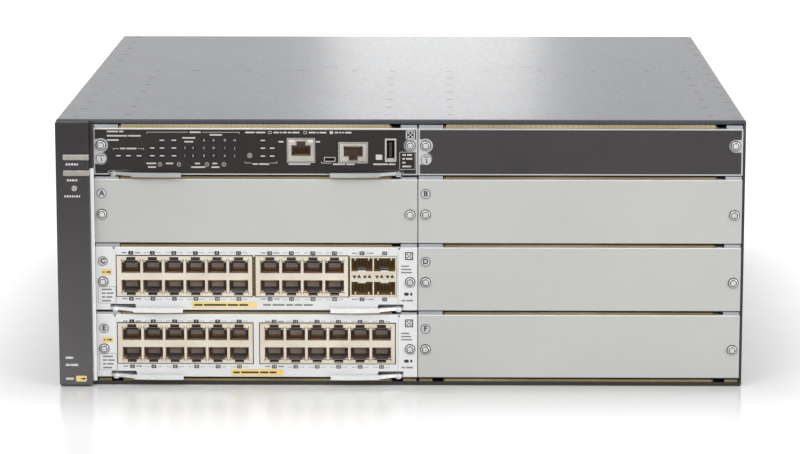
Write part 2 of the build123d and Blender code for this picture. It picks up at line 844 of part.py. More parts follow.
def make_bezel():
    """The dark moulded cover at the left of the front, hollow behind, with a step at its top right."""
    left, right = -half_width, bay_left - bezel_right_gap
    low, high = bezel_base_gap, chassis_height - bezel_top_gap
    outer = block(left, right, front_y - bezel_depth, front_y, low, high)
    outer = fillet(edges_at(outer, Axis.Z, Y=front_y - bezel_depth), 1.4)
    top_bottom = outer.edges().filter_by(Axis.X).filter_by(lambda e: e.center().Y < front_y - bezel_depth + 0.01)
    outer = fillet(top_bottom, 1.0)
    inner = block(left + bezel_wall, right - bezel_wall, front_y - bezel_depth + bezel_wall, front_y + 1,
                  low + bezel_wall, high - bezel_wall)
    step_top = chassis_height - cover_lip - fit_gap
    step = block(right - bezel_wall, bay_left - fit_gap, front_y - bezel_step_depth, front_y, bezel_step_rise, step_top)
    whole = outer - inner + step
    tools = []
    for z in (power_bar_rise, fault_bar_rise):
        tools.append(block(right - light_bar_length, right + 0.5, front_y - bezel_depth - 1,
                           front_y - bezel_depth + bar_depth, z - light_bar_height / 2,
                           z + light_bar_height / 2))
    tools.append(rod_y(-half_width + locator_inset, locator_rise, front_y - bezel_depth - 1, front_y,
                       locator_radius))
    return cut_all(whole, tools)


def make_bezel_lights():
    """Two light bars that wrap the bezel's right edge, and the round locator lens."""
    right = bay_left - bezel_right_gap
    front = front_y - bezel_depth
    solids = []
    for z in (power_bar_rise, fault_bar_rise):
        bar = block(right - light_bar_length, right, front, front + bar_depth, z - light_bar_height / 2,
                    z + light_bar_height / 2)
        bar = fillet(edges_at(bar, Axis.X, Y=front), 1.5)
        bar = fillet(edges_at(bar, Axis.Z, Y=front, X=right), 0.9)
        solids.append(bar)
    lens_x = -half_width + locator_inset
    lens = rod_y(lens_x, locator_rise, front, front_y - led_board_sheet - 1.4, locator_radius)
    lens = fillet(lens.edges().filter_by(GeomType.CIRCLE).sort_by(Axis.Y)[0], 1.0)
    solids.append(lens)
    return solids


def make_led_board():
    """The indicator board behind the bezel, with one emitter behind each light."""
    right = bay_left - bezel_right_gap
    left, inner_right = -half_width + bezel_wall + 1, right - bezel_wall - 1
    sheet = block(left, inner_right, front_y - led_board_sheet, front_y, locator_rise - led_board_below,
                  power_bar_rise + led_board_above)
    solids = [sheet]
    bar_x = right - light_bar_length / 2
    for x, z in ((bar_x, power_bar_rise), (bar_x, fault_bar_rise), (-half_width + locator_inset, locator_rise)):
        solids.append(block(x - 1.6, x + 1.6, front_y - led_board_sheet - 1.0, front_y - led_board_sheet,
                            z - 1.2, z + 1.2))
    return solids


def make_backplane():
    """The board that every module plugs into, with one socket for each slot."""
    solids = [block(cage_left_x, side_inner - 1, backplane_y, backplane_y + backplane_sheet, wall, row_m_z + 28)]
    for row_z in row_bottoms:
        low = board_top(row_z)
        for left_x in column_lefts:
            middle = left_x + column_width / 2
            solids.append(block(middle - socket_width / 2, middle + socket_width / 2, backplane_y - socket_depth,
                                backplane_y, low, low + socket_height))
    return solids


def make_gaskets():
    """Springy contact strips on the filler panels and along the tub's front hem."""
    solids = []
    for row_z, columns, height in ((row_m_z, (1,), management_face_height), (row_a_z, (0, 1), face_height),
                                   (row_c_z, (1,), face_height), (row_e_z, (1,), face_height)):
        for c in columns:
            solids.append(gasket_strip(column_lefts[c], row_z + height))
    for left_x in column_lefts:
        solids.append(gasket_strip(left_x, hem_height))
    return solids


def gasket_strip(left_x, base_z):
    """One contact strip lying on a flange, rounded along its front."""
    y0 = front_y + gasket_start
    reach = gasket_depth if base_z > hem_height else hem_depth - gasket_start
    strip = block(left_x + gasket_inset, left_x + column_width - gasket_inset, y0, y0 + reach, base_z,
                  base_z + gasket_height)
    return fillet(edges_at(strip, Axis.X, Y=y0, Z=base_z + gasket_height), gasket_height * 0.5)


# Management module
def management_windows():
    """Openings in the management module's face."""
    left_x, low_y, high_y = column_lefts[0], front_y - overlay_sheet - 1, front_y + face_sheet + 1
    sized = (
        (network_jack_left, network_jack_width, network_jack_rise, network_jack_height),
        (console_jack_left, console_jack_width, network_jack_rise, console_jack_height),
        (micro_socket_left, micro_socket_width, micro_socket_rise, micro_socket_height),
        (tall_socket_left, tall_socket_width, tall_socket_rise, tall_socket_height),
    )
    tools = [
        block(left_x + x - window_gap, left_x + x + w + window_gap, low_y, high_y,
              row_m_z + z - window_gap, row_m_z + z + h + window_gap)
        for x, w, z, h in sized
    ]
    tools.append(rod_y(left_x + mode_button_left, row_m_z + mode_button_rise, low_y, high_y,
                       mode_button_radius + running_gap))
    for x in pinhole_lefts.values():
        tools.append(rod_y(left_x + x, row_m_z + pinhole_rise, low_y, high_y, pinhole_radius))
    return tools


def overlay(left_x, tools):
    """The dark printed sheet stuck on a top-row face, notched round its screws and badge."""
    right_x = left_x + column_width
    margin = overlay_margin
    sheet = block(left_x + margin, right_x - margin, front_y - overlay_sheet, front_y,
                  row_m_z + overlay_low, row_m_z + management_face_height - margin)
    notch_low = row_m_z + management_badge_rise
    notch_high = row_m_z + management_screw_rise
    cutters = list(tools) + (lever_slots(left_x, row_m_z) if tools else [])
    for z, radius in ((notch_low, management_badge_radius + 0.5), (notch_high, overlay_notch)):
        cutters.append(rod_y(left_x + screw_inset, z, front_y - 2, front_y + 1, radius))
    cutters.append(rod_y(right_x - screw_inset, notch_high, front_y - 2, front_y + 1, overlay_right_notch))
    cutters.append(block(right_x - screw_inset, right_x, front_y - 2, front_y + 1,
                         notch_high - overlay_right_notch, notch_high + overlay_right_notch))
    cutters.append(block(left_x, left_x + screw_inset, front_y - 2, front_y + 1, notch_low - management_badge_radius,
                         notch_high + overlay_right_notch))
    return cut_all(sheet, cutters)


def socket_box(left, low, width, height, depth, pin):
    """A small pressed socket, open at the front, with its contact tongue inside."""
    front = front_y - overlay_sheet - 0.2
    shell = block(left, left + width, front, front + depth, low, low + height)
    inset = socket_shell if min(width, height) > 4 else 0.5
    shell -= block(left + inset, left + width - inset, front - 1, front + depth - 2, low + inset, low + height - inset)
    if pin:
        middle = left + width / 2
        shell += block(middle - 0.9, middle + 0.9, front + 2, front + depth - 1, low + inset + 1.5,
                       low + height - inset - 1.5)
    shell += block(left, left + width, front_y + foot_start + 1, front + depth, board_top(row_m_z), low + 0.3)
    return shell


def make_mode_button():
    """The round button that steps through the indicator modes."""
    x, z = column_lefts[0] + mode_button_left, row_m_z + mode_button_rise
    front = front_y - overlay_sheet - mode_button_proud
    stem = rod_y(x, z, front, front + mode_button_length, mode_button_radius)
    stem = fillet(stem.edges().filter_by(GeomType.CIRCLE).sort_by(Axis.Y)[0], 0.5)
    collar_y = front_y + face_sheet + 0.1
    return stem + rod_y(x, z, collar_y, collar_y + 0.8, mode_button_radius + 0.9)


def make_pinhole_button(x):
    """A recessed plunger behind a pinhole, pressed with a thin tool."""
    front = front_y - overlay_sheet + pinhole_recess
    z = row_m_z + pinhole_rise
    stem = rod_y(x, z, front, front + pinhole_plunger_length, pinhole_plunger_radius)
    collar_y = front_y + face_sheet + 0.1
    return stem + rod_y(x, z, collar_y, collar_y + 0.8, pinhole_radius + 0.5)


def switch_body(x, z, plunger_end, room):
    """The small switch on the board behind a button, standing on the board's top."""
    top = board_top(row_m_z)
    return block(x - 2.5, x + 2.5, plunger_end + room, plunger_end + room + 4, top, max(z + 2.2, top + 3))


# Rear
def panel_screws(x0, x1, z_values, inset=5.0):
    """Heads of the screws at the two ends of a rear panel."""
    y0 = rear_panel_y + panel_sheet
    return [
        rod_y(x, z, y0, y0 + 2.4, 3.4) - block(x - 2.4, x + 2.4, y0 + 1.6, y0 + 3, z - 0.4, z + 0.4)
        for x in (x0 + inset, x1 - inset) for z in z_values
    ]


def grip(x_middle, z, span, y0, along_x=True):
    """A bent round handle standing out of a rear panel."""
    depth = rear_y + handle_depth - grip_radius - y0
    half = span / 2
    if along_x:
        points = [(x_middle - half, y0, z), (x_middle - half, y0 + depth, z),
                  (x_middle + half, y0 + depth, z), (x_middle + half, y0, z)]
    else:
        points = [(x_middle, y0, z - half), (x_middle, y0 + depth, z - half),
                  (x_middle, y0 + depth, z + half), (x_middle, y0, z + half)]
    path = FilletPolyline(*points, radius=grip_radius * 2)
    start = Plane(origin=points[0], z_dir=(0, 1, 0))
    return sweep(start * Circle(grip_radius), path=path)


def make_rear_frame():
    """The rear sheet with three openings: one for the fans and two for the power supplies."""
    y0, y1 = rear_panel_y - rear_sheet, rear_panel_y
    inside = half_width - wall - fit_gap
    whole = block(-inside, inside, y0, y1, wall + fit_gap, cover_under - fit_gap)
    half_gap = supply_gap / 2
    tools = [
        block(fan_bay_left, fan_bay_right, y0 - 1, y1 + 1, bay_low, bay_high),
        block(supply_bay_left, supply_bay_right, y0 - 1, y1 + 1, bay_low, supply_middle - half_gap),
        block(supply_bay_left, supply_bay_right, y0 - 1, y1 + 1, supply_middle + half_gap, bay_high),
    ]
    return cut_all(whole, tools)


def make_partitions():
    """The rear bays' upright between fans and supplies, with a shelf under each supply and legs to the floor."""
    y0, y1 = backplane_y + backplane_sheet, rear_panel_y - rear_sheet
    x = fan_bay_right + bay_gap / 2
    whole = block(x - bay_wall / 2, x + bay_wall / 2, y0, y1, wall, cover_under)
    end = half_width - 2 * wall - seam - fit_gap
    for low in (bay_low, supply_middle + supply_gap / 2):
        top = low + 2 * fit_gap - shelf_gap
        whole += block(x, end, y0, y1, top - bay_wall, top)
    whole += block(end - bay_wall, end, y0, y1, wall, supply_middle + supply_gap / 2 + 2 * fit_gap - shelf_gap)
    return [whole]


def fan_centres():
    """Centres of the two fans in X."""
    return (fan_centre_x - fan_pitch / 2, fan_centre_x + fan_pitch / 2)


def make_fan_tray():
    """The fan carrier: rear panel with two round openings, top and bottom rails, screws and handle."""
    y0, y1 = rear_panel_y, rear_panel_y + panel_sheet
    left, right = fan_bay_left - bay_lap, fan_bay_right + bay_lap
    low, high = bay_low - bay_lap, bay_high + bay_lap
    low = max(low, end_lip + fit_gap)
    panel = block(left, right, y0, y1, low, high)
    clear = fit_gap * 2
    top = fan_centre_z + fan_size / 2 + fit_gap
    bottom = fan_centre_z - fan_size / 2 - fit_gap
    for z in (top, bottom - fan_bracket):
        panel += block(fan_bay_left + clear, fan_bay_right - clear, y0 - fan_bracket_depth, y0, z, z + fan_bracket)
    panel -= block(left - 1, right + 1, y0 - fan_bracket_depth - 1, y0, bay_high - clear, high + 5)
    for x in fan_centres():
        panel -= rod_y(x, fan_centre_z, y0 - 1, y1 + 1, fan_bore_radius)
    handle = grip(fan_centre_x, fan_centre_z, grip_span, y1, along_x=False)
    return [panel, handle] + panel_screws(left, right, (low + 8, high - 8))


def make_fan_housings():
    """Square fan frames with a hub plate on four struts at the rear."""
    solids = []
    y1 = rear_panel_y
    y0 = y1 - fan_depth
    half = fan_size / 2
    for x in fan_centres():
        frame = block(x - half, x + half, y0, y1, fan_centre_z - half, fan_centre_z + half)
        frame -= rod_y(x, fan_centre_z, y0 - 1, y1 + 1, fan_bore_radius)
        hub = rod_y(x, fan_centre_z, y1 - fan_strut_depth, y1, fan_hub_radius)
        for angle in (45, 135):
            strut = block(-fan_bore_radius - 1, fan_bore_radius + 1, y1 - fan_strut_depth, y1,
                          -fan_strut_width / 2, fan_strut_width / 2)
            hub += Pos(x, 0, fan_centre_z) * Rot(0, angle, 0) * strut
        pin = rod_y(x, fan_centre_z, y0 + 6, y1, fan_shaft_radius)
        solids.append(frame + hub + pin)
    return solids


def make_fan_rotor(x):
    """A seven-bladed rotor that turns on the housing's shaft."""
    y1 = rear_panel_y - fan_strut_depth - fit_gap * 2
    y0 = rear_panel_y - fan_depth + 1
    hub = rod_y(x, fan_centre_z, y0, y1, fan_hub_radius)
    hub = fillet(hub.edges().filter_by(GeomType.CIRCLE).sort_by(Axis.Y)[0], 2.0)
    length = fan_blade_radius - fan_hub_radius + 2
    middle_y = (y0 + y1) / 2
    rotor = hub
    for i in range(fan_blades):
        blade = Box(length, fan_blade_sheet, fan_blade_width)
        blade = Pos(fan_hub_radius - 2 + length / 2, 0, 0) * Rot(90 - fan_blade_pitch_deg, 0, 0) * blade
        rotor += Pos(x, middle_y, fan_centre_z) * Rot(0, 360 / fan_blades * i, 0) * blade
    rotor -= rod_y(x, fan_centre_z, y0 + 4, y1 + 1, fan_shaft_radius + running_gap)
    trim = rod_y(x, fan_centre_z, y0, y1, fan_blade_radius)
    return rotor & trim


def make_fan_guards():
    """Wire finger guards of rings on two crossing wires, outside the fan openings."""
    solids = []
    y = rear_panel_y + panel_sheet + guard_wire_radius + guard_seat
    for x in fan_centres():
        guard = None
        for i in range(guard_ring_count):
            ring = Pos(x, y, fan_centre_z) * Rot(90, 0, 0) * Torus(guard_first_radius + i * guard_ring_pitch,
                                                                   guard_wire_radius)
            guard = ring if guard is None else guard + ring
        reach = fan_bore_radius + 3
        for angle in (45, 135):
            bar = Rot(0, angle, 0) * rod_x(0, 0, -reach, reach, guard_wire_radius)
            guard += Pos(x, y, fan_centre_z) * bar
        for angle in (45, 135, 225, 315):
            foot = Rot(0, angle, 0) * block(reach - 3, reach + 2, -guard_wire_radius - guard_seat, guard_wire_radius,
                                            -2.2, 2.2)
            guard += Pos(x, y, fan_centre_z) * foot
        solids.append(guard)
    return solids


def make_supply(low, high):
    """A power supply: sheet case with a slotted rear panel, its inlet, its handle and its screws."""
    y1 = rear_panel_y
    y0 = y1 - supply_depth
    clear = fit_gap * 2
    left, right = supply_bay_left + clear, supply_bay_right - clear
    bottom, top = low + clear, high - clear
    case = block(left, right, y0, y1, bottom, top)
    case -= block(left + supply_sheet, right - supply_sheet, y0 + supply_sheet, y1 + 1, bottom + supply_sheet,
                  top - supply_sheet)
    panel_left, panel_right = supply_bay_left - bay_lap, supply_bay_right + bay_lap
    panel_low, panel_high = max(low - bay_lap, end_lip + fit_gap), high + bay_lap
    panel = block(panel_left, panel_right, y1, y1 + panel_sheet, panel_low, panel_high)
    inlet_left = left + 12
    inlet_low = bottom + 10
    tools = [block(inlet_left, inlet_left + inlet_width, y1 - 1, y1 + panel_sheet + 1, inlet_low,
                   inlet_low + inlet_height)]
    slot_left = inlet_left + inlet_width + 12
    slot_height = (top - bottom - supply_slot_low - supply_slot_drop - supply_slot_gap) / 2
    count = int((right - 12 - slot_left) // 7)
    for i in range(count):
        x = slot_left + i * 7
        for z in (bottom + supply_slot_low, top - supply_slot_drop - slot_height):
            tools.append(block(x, x + 3.6, y1 - 1, y1 + panel_sheet + 1, z, z + slot_height))
    case = cut_all(case + panel, tools)
    handle = grip(inlet_left + inlet_width / 2, top - supply_handle_drop, supply_grip_span, y1 + panel_sheet)
    inlet = block(inlet_left + 0.1, inlet_left + inlet_width - 0.1, y1 - inlet_depth, y1 + panel_sheet,
                  inlet_low + 0.1, inlet_low + inlet_height - 0.1)
    inlet -= block(inlet_left + inlet_wall, inlet_left + inlet_width - inlet_wall, y1 - inlet_depth + inlet_wall,
                   y1 + panel_sheet + 1, inlet_low + inlet_wall, inlet_low + inlet_height - inlet_wall)
    for dx in (-7, 0, 7):
        pin_x = inlet_left + inlet_width / 2 + dx
        pin_z = inlet_low + inlet_height / 2 + (3 if dx == 0 else -2)
        inlet += block(pin_x - 1, pin_x + 1, y1 - inlet_depth + 1, y1 - inlet_pin_recess, pin_z - 2.5, pin_z + 2.5)
    core = block(left + 8, right - 8, y0 + 12, y1 - inlet_depth - 12, bottom + supply_sheet,
                 top - supply_core_drop)
    return [case, handle, inlet, core] + panel_screws(panel_left, panel_right, (panel_high - 8,), inset=4.5)


def make_all():
    """Builds every node and writes its file."""
    os.makedirs("parts", exist_ok=True)
    left_x, right_x = column_lefts

    save("chassis_tub", make_tub())
    save("side_grilles", group([make_side_grille(-1), make_side_grille(1)]))
    save("top_cover", make_cover())
    save("cover_screws", group(make_cover_screws()))
    save("cage_wall_left", make_cage_wall())
    save("cage_divider", make_divider())
    save("card_guides", group(make_guides()))
    save("front_bezel", make_bezel())
    save("bezel_lights", group(make_bezel_lights()))
    save("bezel_led_board", group(make_led_board()))
    save("backplane_board", group(make_backplane()))
    save("gasket_strips", group(make_gaskets()))

    # Filler panels and their screws
    save("blank_cover_top", blank_cover(right_x, row_m_z, management_face_height, badge=False))
    save("blank_top_overlay", overlay(right_x, []))
    save("blank_cover_a", blank_cover(left_x, row_a_z, face_height))
    save("blank_cover_b", blank_cover(right_x, row_a_z, face_height))
    save("blank_cover_d", blank_cover(right_x, row_c_z, face_height))
    save("blank_cover_f", blank_cover(right_x, row_e_z, face_height))
    blank_slots = [(right_x, row_m_z), (left_x, row_a_z), (right_x, row_a_z), (right_x, row_c_z), (right_x, row_e_z)]
    save("blank_screws", group([screw(x, z, front_y) for slot in blank_slots for x, z in screw_places(*slot)]))

    # Management module
    windows = management_windows()
    save("mgmt_tray", group([tray(left_x, row_m_z, management_face_height, windows),
                             gasket_strip(left_x, row_m_z + management_face_height)]))
    save("mgmt_overlay", overlay(left_x, windows))
    low = row_m_z + network_jack_rise
    save("mgmt_network_jack", single_jack(left_x + network_jack_left, low, network_jack_width, network_jack_height,
                                          network_port_rise, True))
    save("mgmt_console_jack", single_jack(left_x + console_jack_left, low, console_jack_width, console_jack_height,
                                          console_port_rise, False))
    save("mgmt_usb_sockets", group([
        socket_box(left_x + micro_socket_left, row_m_z + micro_socket_rise, micro_socket_width,
                   micro_socket_height, 7, False),
        socket_box(left_x + tall_socket_left, row_m_z + tall_socket_rise, tall_socket_width,
                   tall_socket_height, 18, True),
    ]))
    save("mode_button", make_mode_button())
    for name, x in pinhole_lefts.items():
        save(name, make_pinhole_button(left_x + x))
    chips = [(30, 120, 24, 24, 2.2), (70, 130, 18, 18, 2.2), (110, 150, 34, 10, 8.0)]
    solids = board(left_x, row_m_z, 4, chips)
    solids.append(cooler(left_x, row_m_z, 70, 70, 44, 44, 12, 9))
    button_end = front_y - overlay_sheet - mode_button_proud + mode_button_length
    solids.append(switch_body(left_x + mode_button_left, row_m_z + mode_button_rise, button_end, 1.0))
    plunger_end = front_y - overlay_sheet + pinhole_recess + pinhole_plunger_length
    for x in pinhole_lefts.values():
        solids.append(switch_body(left_x + x, row_m_z + pinhole_rise, plunger_end, 0.8))
    save("mgmt_board", group(solids))

    # Line card in the third row: twenty jacks and four cages
    block_a = left_x + jack_group_left
    block_b = block_a + jack_block_width(6) + jack_group_gap
    block_c = block_b + jack_block_width(4) + cage_start_gap
    windows = [jack_window(block_a, row_c_z, jack_block_width(6), jack_height),
               jack_window(block_b, row_c_z, jack_block_width(4), jack_height),
               jack_window(block_c, row_c_z, cage_block_width, jack_height),
               badge_recess_tool(left_x + screw_inset, row_c_z + badge_rise, badge_radius)]
    windows += edge_notches(left_x, row_c_z)
    save("card_c_tray", group([tray(left_x, row_c_z, face_height, windows),
                               gasket_strip(left_x, row_c_z + face_height)]))
    save("card_c_jacks_left", jack_block(block_a, row_c_z, 6))
    save("card_c_jacks_right", jack_block(block_b, row_c_z, 4))
    save("card_c_sfp_cage", transceiver_cage(block_c, row_c_z))
    chips = [(24, 60, 26, 26, 2.2), (60, 60, 26, 26, 2.2), (150, 100, 30, 40, 9.0), (30, 180, 50, 12, 10.0)]
    solids = board(left_x, row_c_z, 3, chips)
    solids.append(cooler(left_x, row_c_z, 74, 120, 56, 56, 20, 12))
    save("card_c_board", group(solids))

    # Line card in the bottom row: twenty-four jacks
    block_b = block_a + jack_block_width(6) + card_e_group_gap
    windows = [jack_window(block_a, row_e_z, jack_block_width(6), jack_height),
               jack_window(block_b, row_e_z, jack_block_width(6), jack_height),
               badge_recess_tool(left_x + screw_inset, row_e_z + badge_rise, badge_radius)]
    windows += edge_notches(left_x, row_e_z)
    save("card_e_tray", group([tray(left_x, row_e_z, face_height, windows),
                               gasket_strip(left_x, row_e_z + face_height)]))
    save("card_e_jacks_left", jack_block(block_a, row_e_z, 6))
    save("card_e_jacks_right", jack_block(block_b, row_e_z, 6))
    chips = [(24, 60, 26, 26, 2.2), (60, 60, 26, 26, 2.2), (140, 60, 26, 26, 2.2), (150, 120, 30, 40, 9.0)]
    solids = board(left_x, row_e_z, 3, chips)
    solids.append(cooler(left_x, row_e_z, 74, 120, 56, 56, 20, 12))
    save("card_e_board", group(solids))

    # Levers and captive screws of the three modules
    for name, row_z in (("mgmt", row_m_z), ("card_c", row_c_z), ("card_e", row_e_z)):
        places = dict(zip(("left", "right"), screw_places(left_x, row_z)))
        for side, (x, z) in places.items():
            save(f"{name}_lever_{side}", lever(left_x, row_z, side))
            save(f"{name}_screw_{side}", screw(x, z, front_y))

    # Rear bays
    save("rear_frame", make_rear_frame())
    save("bay_partitions", group(make_partitions()))
    save("fan_tray", group(make_fan_tray()))
    save("fan_guards", group(make_fan_guards()))
    save("fan_housings", group(make_fan_housings()))
    for name, x in zip(("fan_rotor_left", "fan_rotor_right"), fan_centres()):
        save(name, make_fan_rotor(x))
    half_gap = supply_gap / 2
    save("power_supply_upper", group(make_supply(supply_middle + half_gap, bay_high)))
    save("power_supply_lower", group(make_supply(bay_low, supply_middle - half_gap)))


make_all()
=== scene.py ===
"""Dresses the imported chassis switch: a finish for every solid, and the small pieces that the solids leave out.

Lengths are millimetres where nothing else is said, and become metres where a piece is made. +Z is up and -Y is the
front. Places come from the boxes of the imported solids, so that a piece follows what carries it.
"""

import logging
import math
from dataclasses import dataclass, replace
from enum import Enum
from typing import Any, Callable, ClassVar, Iterable, Sequence

import bpy
from mathutils import Matrix, Vector

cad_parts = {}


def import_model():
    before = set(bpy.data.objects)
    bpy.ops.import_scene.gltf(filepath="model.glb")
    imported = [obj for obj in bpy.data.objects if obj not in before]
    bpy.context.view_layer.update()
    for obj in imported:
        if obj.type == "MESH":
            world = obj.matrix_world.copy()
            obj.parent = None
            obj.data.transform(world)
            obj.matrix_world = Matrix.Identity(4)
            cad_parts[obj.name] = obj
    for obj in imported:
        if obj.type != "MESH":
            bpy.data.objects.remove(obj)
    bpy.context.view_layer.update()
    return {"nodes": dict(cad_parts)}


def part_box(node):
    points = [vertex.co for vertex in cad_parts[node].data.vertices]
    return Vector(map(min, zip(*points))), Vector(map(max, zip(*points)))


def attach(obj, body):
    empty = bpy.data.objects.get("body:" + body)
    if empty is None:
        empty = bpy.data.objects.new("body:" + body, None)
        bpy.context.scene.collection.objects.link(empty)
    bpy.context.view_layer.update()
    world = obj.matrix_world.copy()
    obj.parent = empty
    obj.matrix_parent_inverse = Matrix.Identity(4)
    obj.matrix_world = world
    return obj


MM = 0.001
PRINT = 0.06  # how far print stands out of its face
SUNK = 0.05  # how far a laid-on piece reaches into its face
FACING = 0.9  # least share of a normal that counts as looking along an axis
FAR = 900.0  # beyond every part of the object

Point = tuple[float, float, float]
Span = tuple[float, float]
Piece = bpy.types.Object
Socket = bpy.types.NodeSocket
FaceTest = Callable[[Vector, Vector], bool]
Log = logging.getLogger("dress")


class Axis(Enum):
    """An axis of the frame."""

    X = 0
    Y = 1
    Z = 2


class Latch(Enum):
    """The side of a jack on which its latch notch lies."""

    UP = 1
    DOWN = -1


# Modelling tools


def clear_selection() -> None:
    """Leaves edit mode and deselects every object."""
    if bpy.context.object and bpy.context.object.mode != "OBJECT":
        bpy.ops.object.mode_set(mode="OBJECT")
    bpy.ops.object.select_all(action="DESELECT")


def take(piece: Piece) -> None:
    """Makes one piece the only selected and active object.

    Args:
        piece: The piece.
    """
    clear_selection()
    piece.select_set(True)
    bpy.context.view_layer.objects.active = piece


def settle() -> Piece:
    """Moves the active object's place and turn into its mesh."""
    bpy.ops.object.transform_apply(location=True, rotation=True, scale=True)
    return bpy.context.object


def block(low: Point, high: Point) -> Piece:
    """Adds a box between its lowest and its highest corner.

    Args:
        low: Its lowest corner.
        high: Its highest corner.

    Returns:
        The box.
    """
    clear_selection()
    size = [(b - a) * MM for a, b in zip(low, high)]
    middle = [(a + b) / 2 * MM for a, b in zip(low, high)]
    bpy.ops.mesh.primitive_cube_add(size=1, location=middle, scale=size)
    return settle()


def centred(half: float, y0: float, y1: float, z0: float, z1: float) -> Piece:
    """Adds a box that reaches half its width to both sides of X 0."""
    return block((-half, y0, z0), (half, y1, z1))


def rod(axis: Axis, start: Point, length: float, radius: float, sides: int = 24) -> Piece:
    """Adds a many-sided bar.

    Args:
        axis: The direction in which it runs.
        start: Centre of its first end.
        length: Its length.
        radius: Its radius.
        sides: The number of its sides.

    Returns:
        The bar.
    """
    clear_selection()
    turn = {Axis.X: (0, math.pi / 2, 0), Axis.Y: (math.pi / 2, 0, 0), Axis.Z: (0, 0, 0)}[axis]
    middle = [c * MM for c in start]
    middle[axis.value] += length / 2 * MM
    bpy.ops.mesh.primitive_cylinder_add(vertices=sides, radius=radius * MM, depth=length * MM, location=middle,
                                        rotation=turn)
    return settle()


def wedge(front_y: float, length: float, radius: float, degrees: float, place: Point) -> Piece:
    """Adds a three-sided bar along Y for an arrow.

    Args:
        front_y: Where its front lies from its place.
        length: Its length along Y.
        radius: Reach of its point.
        degrees: Turn of its point about Y, from pointing up.
        place: Where it is put.

    Returns:
        The bar.
    """
    bar = rod(Axis.Y, (0, front_y, 0), length, radius, 3)
    heights = [vertex.co.z for vertex in bar.data.vertices]
    turn = math.radians(degrees + (0 if max(heights) > -min(heights) else 180))
    bar.data.transform(Matrix.Translation([c * MM for c in place]) @ Matrix.Rotation(turn, 4, "Y"))
    return bar


def facing(axis: Axis, sign: int) -> FaceTest:
    """A test for the faces that look along an axis."""
    return lambda centre, normal: normal[axis.value] * sign > FACING


FRONT, REAR, UP, RIGHT = facing(Axis.Y, -1), facing(Axis.Y, 1), facing(Axis.Z, 1), facing(Axis.X, 1)


def pick(piece: Piece, kind: str, test: Callable[[Any], bool]) -> None:
    """Enters edit mode with only the faces or only the edges selected that pass a test.

    Args:
        piece: The piece.
        kind: FACE or EDGE.
        test: Tells which faces or edges are meant.
    """
    take(piece)
    mesh = piece.data
    for part in (mesh.vertices, mesh.edges, mesh.polygons):
        part.foreach_set("select", [False] * len(part))
    for element in mesh.polygons if kind == "FACE" else mesh.edges:
        element.select = test(element)
    bpy.ops.object.mode_set(mode="EDIT")
    bpy.ops.mesh.select_mode(type=kind)


def pick_faces(piece: Piece, test: FaceTest) -> None:
    """Selects the faces whose centre and normal pass a test."""
    pick(piece, "FACE", lambda face: test(face.center / MM, face.normal))


def pick_edges(piece: Piece, test: FaceTest) -> None:
    """Selects the edges whose middle and direction pass a test.

    Args:
        piece: The piece.
        test: Tells by middle and direction which edges are meant.
    """
    points = piece.data.vertices

    def passes(edge: bpy.types.MeshEdge) -> bool:
        """Tests one edge."""
        a, b = (points[i].co for i in edge.vertices)
        return test((a + b) / 2 / MM, (b - a).normalized())

    pick(piece, "EDGE", passes)


def leave_edit() -> None:
    """Goes back to object mode."""
    bpy.ops.object.mode_set(mode="OBJECT")


def modify(piece: Piece, kind: str, **traits: Any) -> Piece:
    """Applies a modifier of a kind with the given traits.

    Args:
        piece: The piece.
        kind: The modifier's kind.
        traits: Its settings.

    Returns:
        The piece.
    """
    take(piece)
    modifier = piece.modifiers.new("step", kind)
    for trait, value in traits.items():
        setattr(modifier, trait, value)
    bpy.ops.object.modifier_apply(modifier=modifier.name)
    return piece


def round_edges(piece: Piece, axis: Axis, radius: float, segments: int = 2,
                where: Callable[[Vector], bool] = lambda middle: True) -> Piece:
    """Rounds the edges along an axis.

    Args:
        piece: The piece to change.
        axis: The direction of the edges.
        radius: How far the rounding reaches.
        segments: Facets of the rounding.
        where: A test of an edge's middle.

    Returns:
        The same piece.
    """
    pick_edges(piece, lambda middle, way: abs(way[axis.value]) > 0.99 and where(middle))
    bpy.ops.mesh.bevel(offset=radius * MM, segments=segments, affect="EDGES")
    leave_edit()
    return piece


def soften(piece: Piece, width: float, segments: int = 2, angle: float = 35.0) -> Piece:
    """Breaks the edges sharper than an angle in degrees."""
    return modify(piece, "BEVEL", width=width * MM, segments=segments, limit_method="ANGLE",
                  angle_limit=math.radians(angle))


def hollow(piece: Piece, test: FaceTest, wall: float) -> Piece:
    """Takes the faces off that pass a test, and gives the others a wall inwards.

    Args:
        piece: The piece.
        test: Tells by middle and normal which faces are meant.
        wall: The wall's thickness.

    Returns:
        The piece.
    """
    pick_faces(piece, test)
    bpy.ops.mesh.delete(type="FACE")
    leave_edit()
    return modify(piece, "SOLIDIFY", thickness=wall * MM, offset=-1.0)


def inset(piece: Piece, test: FaceTest, thickness: float, depth: float = 0.0) -> Piece:
    """Insets the faces that pass a test by a thickness, and moves them in by a depth.

    Args:
        piece: The piece.
        test: Tells by middle and normal which faces are meant.
        thickness: How wide the rim is.
        depth: How far the faces go in.

    Returns:
        The piece.
    """
    pick_faces(piece, test)
    bpy.ops.mesh.inset(thickness=thickness * MM, depth=-depth * MM)
    leave_edit()
    return piece


def cut_through(piece: Piece, line: float) -> Piece:
    """Cuts a plate's middle out from front to rear, and leaves a rim as wide as a line.

    Args:
        piece: The piece.
        line: The rim's width.

    Returns:
        The piece.
    """
    pick_faces(piece, lambda centre, normal: abs(normal.y) > FACING)
    bpy.ops.mesh.inset(thickness=line * MM)
    bpy.ops.mesh.bridge_edge_loops()
    leave_edit()
    return piece


